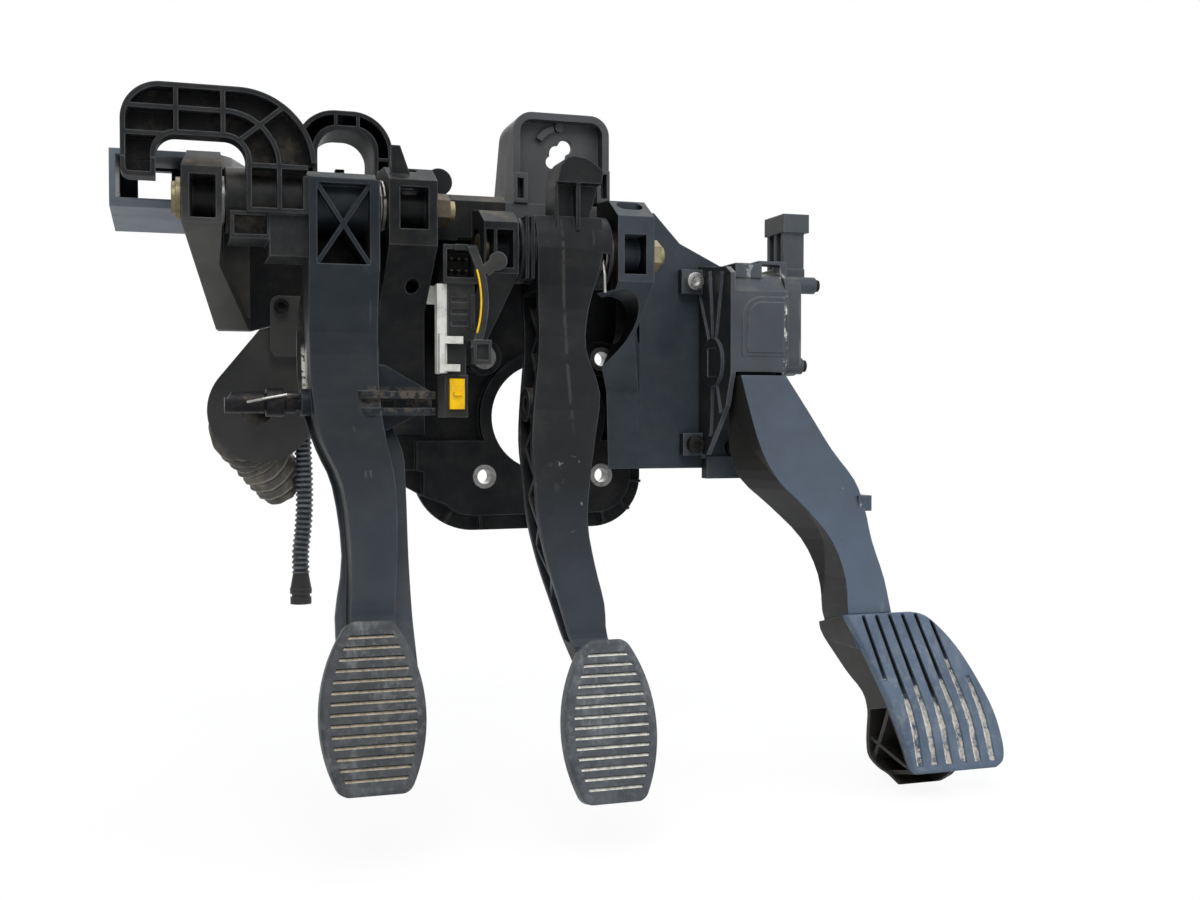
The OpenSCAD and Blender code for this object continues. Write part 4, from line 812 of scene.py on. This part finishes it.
add_grip_pad("clutch_tread", "clutch_pad", "clutch_pedal", CLUTCH_PAD, 47.0, 76.0, clutch_pad_mat)
add_grip_pad("brake_tread", "brake_pad", "brake_pedal", BRAKE_PAD, 45.0, 75.0, brake_pad_mat)


# Slotted pad of the accelerator: keys of its outline (height, left, right) and of the middle slot
# (height, across, 0). Slots are numbered from the middle one. SLOT_TOPS has the upper ends of those that
# stop early, and DIRT_FROM the height below which each fills with dirt.
ACCEL_KEYS = [(45, -45.5, -7), (41, -44, 4.5), (23, -35.7, 20.5), (-5, -25, 35), (-24, -19.5, 39.8),
    (-36, -16.8, 39.4), (-40.5, -14, 34)]
SLOT_KEYS = [(46, -13, 0), (44, -12.4, 0), (14, -3.6, 0), (-12, 3.4, 0), (-37, 5.4, 0), (-42, 5.6, 0)]
KEY_STEPS = 12
SLOT_DEEP = 2.2
SLOT_SIDE = 3
SLOT_PITCH = 8.4
SLOT_FAN = 0.012
SLOT_TOPS = {SLOT_SIDE: 8.0, SLOT_SIDE - 1: 39.0}
SLOT_TOP = 43.0
SLOT_LOW = -36.0
SLOT_LOW_LEFT = 10.0
SLOT_STEPS = (-2.3, -1.2, -1.0, -0.6, 0.0, 0.4, 0.8, 1.0, 1.2)
DIRT_FROM = {-3: 20.0, -2: 10.0, -1: 15.0, 0: 6.0, 1: 18.0, 2: 28.0, 3: 30.0}
ACCEL_ROW = 0.7


def read_keys(table, v, column):
    """Value of a column of the table at height v."""
    for high, low in zip(table, table[1:]):
        if high[0] >= v >= low[0]:
            t = (high[0] - v) / max(high[0] - low[0], 1e-9)
            return high[column] + t * (low[column] - high[column])
    return table[0][column] if v > table[0][0] else table[-1][column]


def add_accel_pad():
    outline = [tuple(p) for p in spline(ACCEL_KEYS, KEY_STEPS)]
    middle = [tuple(p) for p in spline(SLOT_KEYS, KEY_STEPS)]
    top, bottom = outline[0][0], outline[-1][0]

    def sides(v):
        return read_keys(outline, v, 1), read_keys(outline, v, 2)

    def slot_x(k, v):
        return read_keys(middle, v, 1) + k * (SLOT_PITCH - SLOT_FAN * v)

    def slot_half(v):
        return 1.25 + 0.75 * clamp((25.0 - v) / 40.0)

    def slot_ends(k):
        return SLOT_TOPS.get(k, SLOT_TOP), SLOT_LOW_LEFT if k == -SLOT_SIDE else SLOT_LOW

    def columns(v):
        left, right = sides(v)
        line = [left + d for d in RIM_STEPS]
        for k in range(-SLOT_SIDE - 1, SLOT_SIDE + 2):
            for d in SLOT_STEPS:
                u = slot_x(k, v) + d * slot_half(v)
                line.append(clamp(u, left + RIM_STEPS[-1], right - RIM_STEPS[-1]))
        return line + [right - d for d in reversed(RIM_STEPS)]

    def face(u, v):
        left, right = sides(v)
        room = min(u - left, right - u, top - v, v - bottom)
        depth = PAD_FACE + rolled(room, PAD_ROUND)
        k = min(range(-SLOT_SIDE, SLOT_SIDE + 1), key=lambda i: abs(u - slot_x(i, v)))
        off = (u - slot_x(k, v)) / slot_half(v)
        high, low = slot_ends(k)
        inside = clamp((high + 1.5 - v) / 1.5) * clamp((v - low + 1.5) / 1.5) * clamp((room - 0.4) / 0.8)
        slope = clamp((off + 1.0) / 1.4)
        wall = clamp((1.0 - off) / 0.3)
        filled = clamp((DIRT_FROM[k] - v) / 30.0)
        pale = inside * clamp((off + 1.1) / 0.1) * clamp((1.0 - off) / 0.2)
        # Painted shadow along the right side of each slot, less where dirt fills it
        dark = inside * clamp((off + 0.6) / 0.6) * clamp((1.0 - off) / 0.2) * clamp(1.25 - 2.0 * filled)
        return depth + SLOT_DEEP * inside * min(slope, wall), pale * clamp(1.6 * filled, 0.0, 0.72), dark

    count = int((top - bottom - 3.0) / ACCEL_ROW)
    rows = [bottom + d for d in END_STEPS] + [top - d for d in END_STEPS]
    rows += [bottom + 2.0 + ACCEL_ROW * i for i in range(count)]
    pad_piece("accel_tread", "accel_pad", "accel_pedal", ACCEL_PAD, ACCEL_TILT, sorted(rows), columns, face,
        back=0.0, seat=None, mat=accel_pad_mat)


add_accel_pad()


# Hollow side of the brake ear, cut into a copy of its solid. The outline is (X, Z) in mm at the front of
# the cut, which runs from HOLLOW_FRONT to HOLLOW_REAR along Y and moves HOLLOW_RUN to the right on the way.
HOLLOW = [(8, 66), (14, 66.5), (19.5, 63.5), (22.5, 57), (22, 49), (18, 40), (10, 30), (0, 20), (-14, 16.6),
    (-14, 64)]
HOLLOW_STEPS = 4
HOLLOW_FRONT = -130.0
HOLLOW_REAR = -45.0
HOLLOW_RUN = 13.0


def hollow_cutter():
    curve = spline([(x, z, 0) for x, z in HOLLOW + HOLLOW[:1]], HOLLOW_STEPS)
    outline = [tuple(p)[:2] for p in curve][:-1]
    count = len(outline)
    rings = [(MM * x, MM * HOLLOW_FRONT, MM * z) for x, z in outline]
    rings += [(MM * (x + HOLLOW_RUN), MM * HOLLOW_REAR, MM * z) for x, z in outline]
    walls = [(i, (i + 1) % count, count + (i + 1) % count, count + i) for i in range(count)]
    walls += [tuple(reversed(range(count))), tuple(range(count, 2 * count))]
    cutter = mesh_object("ear_cutter", rings, walls, ear_mat, False)
    bm = bmesh.new()
    bm.from_mesh(cutter.data)
    bmesh.ops.recalc_face_normals(bm, faces=bm.faces)
    bm.to_mesh(cutter.data)
    bm.free()
    return cutter


def add_hollow_ear():
    cutter = hollow_cutter()
    bm = bmesh.new()
    bm.from_mesh(nodes["brake_ear"].data)
    bmesh.ops.remove_doubles(bm, verts=bm.verts, dist=0.002 * MM)
    bmesh.ops.dissolve_limit(bm, angle_limit=math.radians(0.5), verts=bm.verts, edges=bm.edges)
    whole = bpy.data.meshes.new("ear_body")
    bm.to_mesh(whole)
    bm.free()
    ear = put_in_scene("ear_hollow", whole)
    cut = ear.modifiers.new("cut", "BOOLEAN")
    cut.operation = "DIFFERENCE"
    cut.solver = "EXACT"
    cut.object = cutter
    bpy.context.view_layer.update()
    done = bpy.data.meshes.new_from_object(ear.evaluated_get(bpy.context.evaluated_depsgraph_get()))
    ear.modifiers.clear()
    ear.data = done
    bpy.data.meshes.remove(whole)
    bpy.data.objects.remove(cutter)
    done.materials.clear()
    done.materials.append(ear_mat)
    dress(ear, "brake_ear", "bracket")


add_hollow_ear()


# Return springs of the accelerator: a copy of their solid, kept on the bracket with their upper end in the
# housing
coils = put_in_scene("accel_coils", nodes["accel_springs"].data.copy())
dress(coils, "accel_springs", "bracket")
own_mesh(coils)


# Yellow bead along the inner edge of the switch's leaf spring: an arc about BEAD_AT, angles in degrees
BEAD_AT = Vector((-0.122, -0.1302, 0.057))
BEAD_ARC = 0.0571
BEAD_FROM = -16
BEAD_STEP = 2
BEAD_COUNT = 17
BEAD_R = 0.0005
BEAD_SIDES = 12
bead_turns = [math.radians(BEAD_FROM + BEAD_STEP * k) for k in range(BEAD_COUNT)]
bead_path = [BEAD_AT + BEAD_ARC * Vector((math.cos(t), 0, math.sin(t))) for t in bead_turns]
bead = tube("leaf_bead", bead_path, lambda far: BEAD_R, BEAD_SIDES, yellow_mat, (0, 1, 0))
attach(bead, "bracket")


# Stage: a pale floor under the part that turns white away from it, a soft sky and four lamps
FLOOR_GAP = 0.002
FLOOR_HALF = 6.0
FLOOR_COLOR = (0.9, 0.9, 0.9)
WHITE = (1, 1, 1, 1)
SKY = (0.9, 0.95, 1.0, 1)
SKY_STRENGTH = 0.38
LAMPS_AIM = Vector((0, -0.08, 0))
LAMPS = (
    ("key", (-0.25, -1.1, 1.2), 1.0, 18.0, (1.0, 0.985, 0.96)),
    ("fill", (0.9, -1.0, 0.5), 0.8, 5.0, (0.93, 0.965, 1.0)),
    ("top", (0.0, 0.1, 1.2), 1.0, 9.0, (0.95, 0.975, 1.0)),
    ("back", (0.3, 1.2, 0.5), 0.8, 5.0, (1.0, 1.0, 1.0)),
)


def add_floor():
    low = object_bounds()[0][2] - FLOOR_GAP
    m = Nodes("floor")
    m.done(FLOOR_COLOR, 0.9, specular=0.1)
    glow = m.add("ShaderNodeEmission")
    glow.inputs["Color"].default_value = WHITE
    far = m.add("ShaderNodeVectorMath", operation="LENGTH")
    m.put(far.inputs[0], m.geo.outputs["Position"])
    fade = m.span(far.outputs["Value"], 0.25, 0.75, 0.9, 1.0)
    rays = m.add("ShaderNodeLightPath")
    mix = m.add("ShaderNodeMixShader")
    m.put(mix.inputs["Fac"], m.times(rays.outputs["Is Camera Ray"], fade))
    m.put(mix.inputs[1], m.shader.outputs[0])
    m.put(mix.inputs[2], glow.outputs[0])
    m.put(m.tree.nodes["Material Output"].inputs["Surface"], mix.outputs[0])
    corners = [(x * FLOOR_HALF, y * FLOOR_HALF, low) for x, y in ((-1, -1), (1, -1), (1, 1), (-1, 1))]
    mesh_object("floor", corners, [(0, 1, 2, 3)], m.mat, False)


def add_sky():
    """Soft light from all round; the camera, mirrors and glass see plain white."""
    world = bpy.data.worlds.new("studio")
    scene.world = world
    world.use_nodes = True
    tree = world.node_tree
    sky = tree.nodes["Background"]
    sky.inputs["Color"].default_value = SKY
    sky.inputs["Strength"].default_value = SKY_STRENGTH
    white = tree.nodes.new("ShaderNodeBackground")
    white.inputs["Color"].default_value = WHITE
    white.inputs["Strength"].default_value = 1.0
    rays = tree.nodes.new("ShaderNodeLightPath")
    seen = rays.outputs["Is Camera Ray"]
    for kind in ("Is Transmission Ray", "Is Glossy Ray"):
        either = tree.nodes.new("ShaderNodeMath")
        either.operation = "MAXIMUM"
        tree.links.new(seen, either.inputs[0])
        tree.links.new(rays.outputs[kind], either.inputs[1])
        seen = either.outputs[0]
    mix = tree.nodes.new("ShaderNodeMixShader")
    tree.links.new(seen, mix.inputs["Fac"])
    tree.links.new(sky.outputs[0], mix.inputs[1])
    tree.links.new(white.outputs[0], mix.inputs[2])
    tree.links.new(mix.outputs[0], tree.nodes["World Output"].inputs["Surface"])


def add_lamps():
    for name, at, size, watts, tint in LAMPS:
        data = bpy.data.lights.new(name, "AREA")
        data.size = size
        data.energy = watts
        data.color = tint
        lamp = put_in_scene(name, data)
        lamp.location = at
        lamp.rotation_euler = (LAMPS_AIM - Vector(at)).to_track_quat("-Z", "Y").to_euler()


add_floor()
add_sky()
add_lamps()
scene.view_settings.view_transform = "Standard"
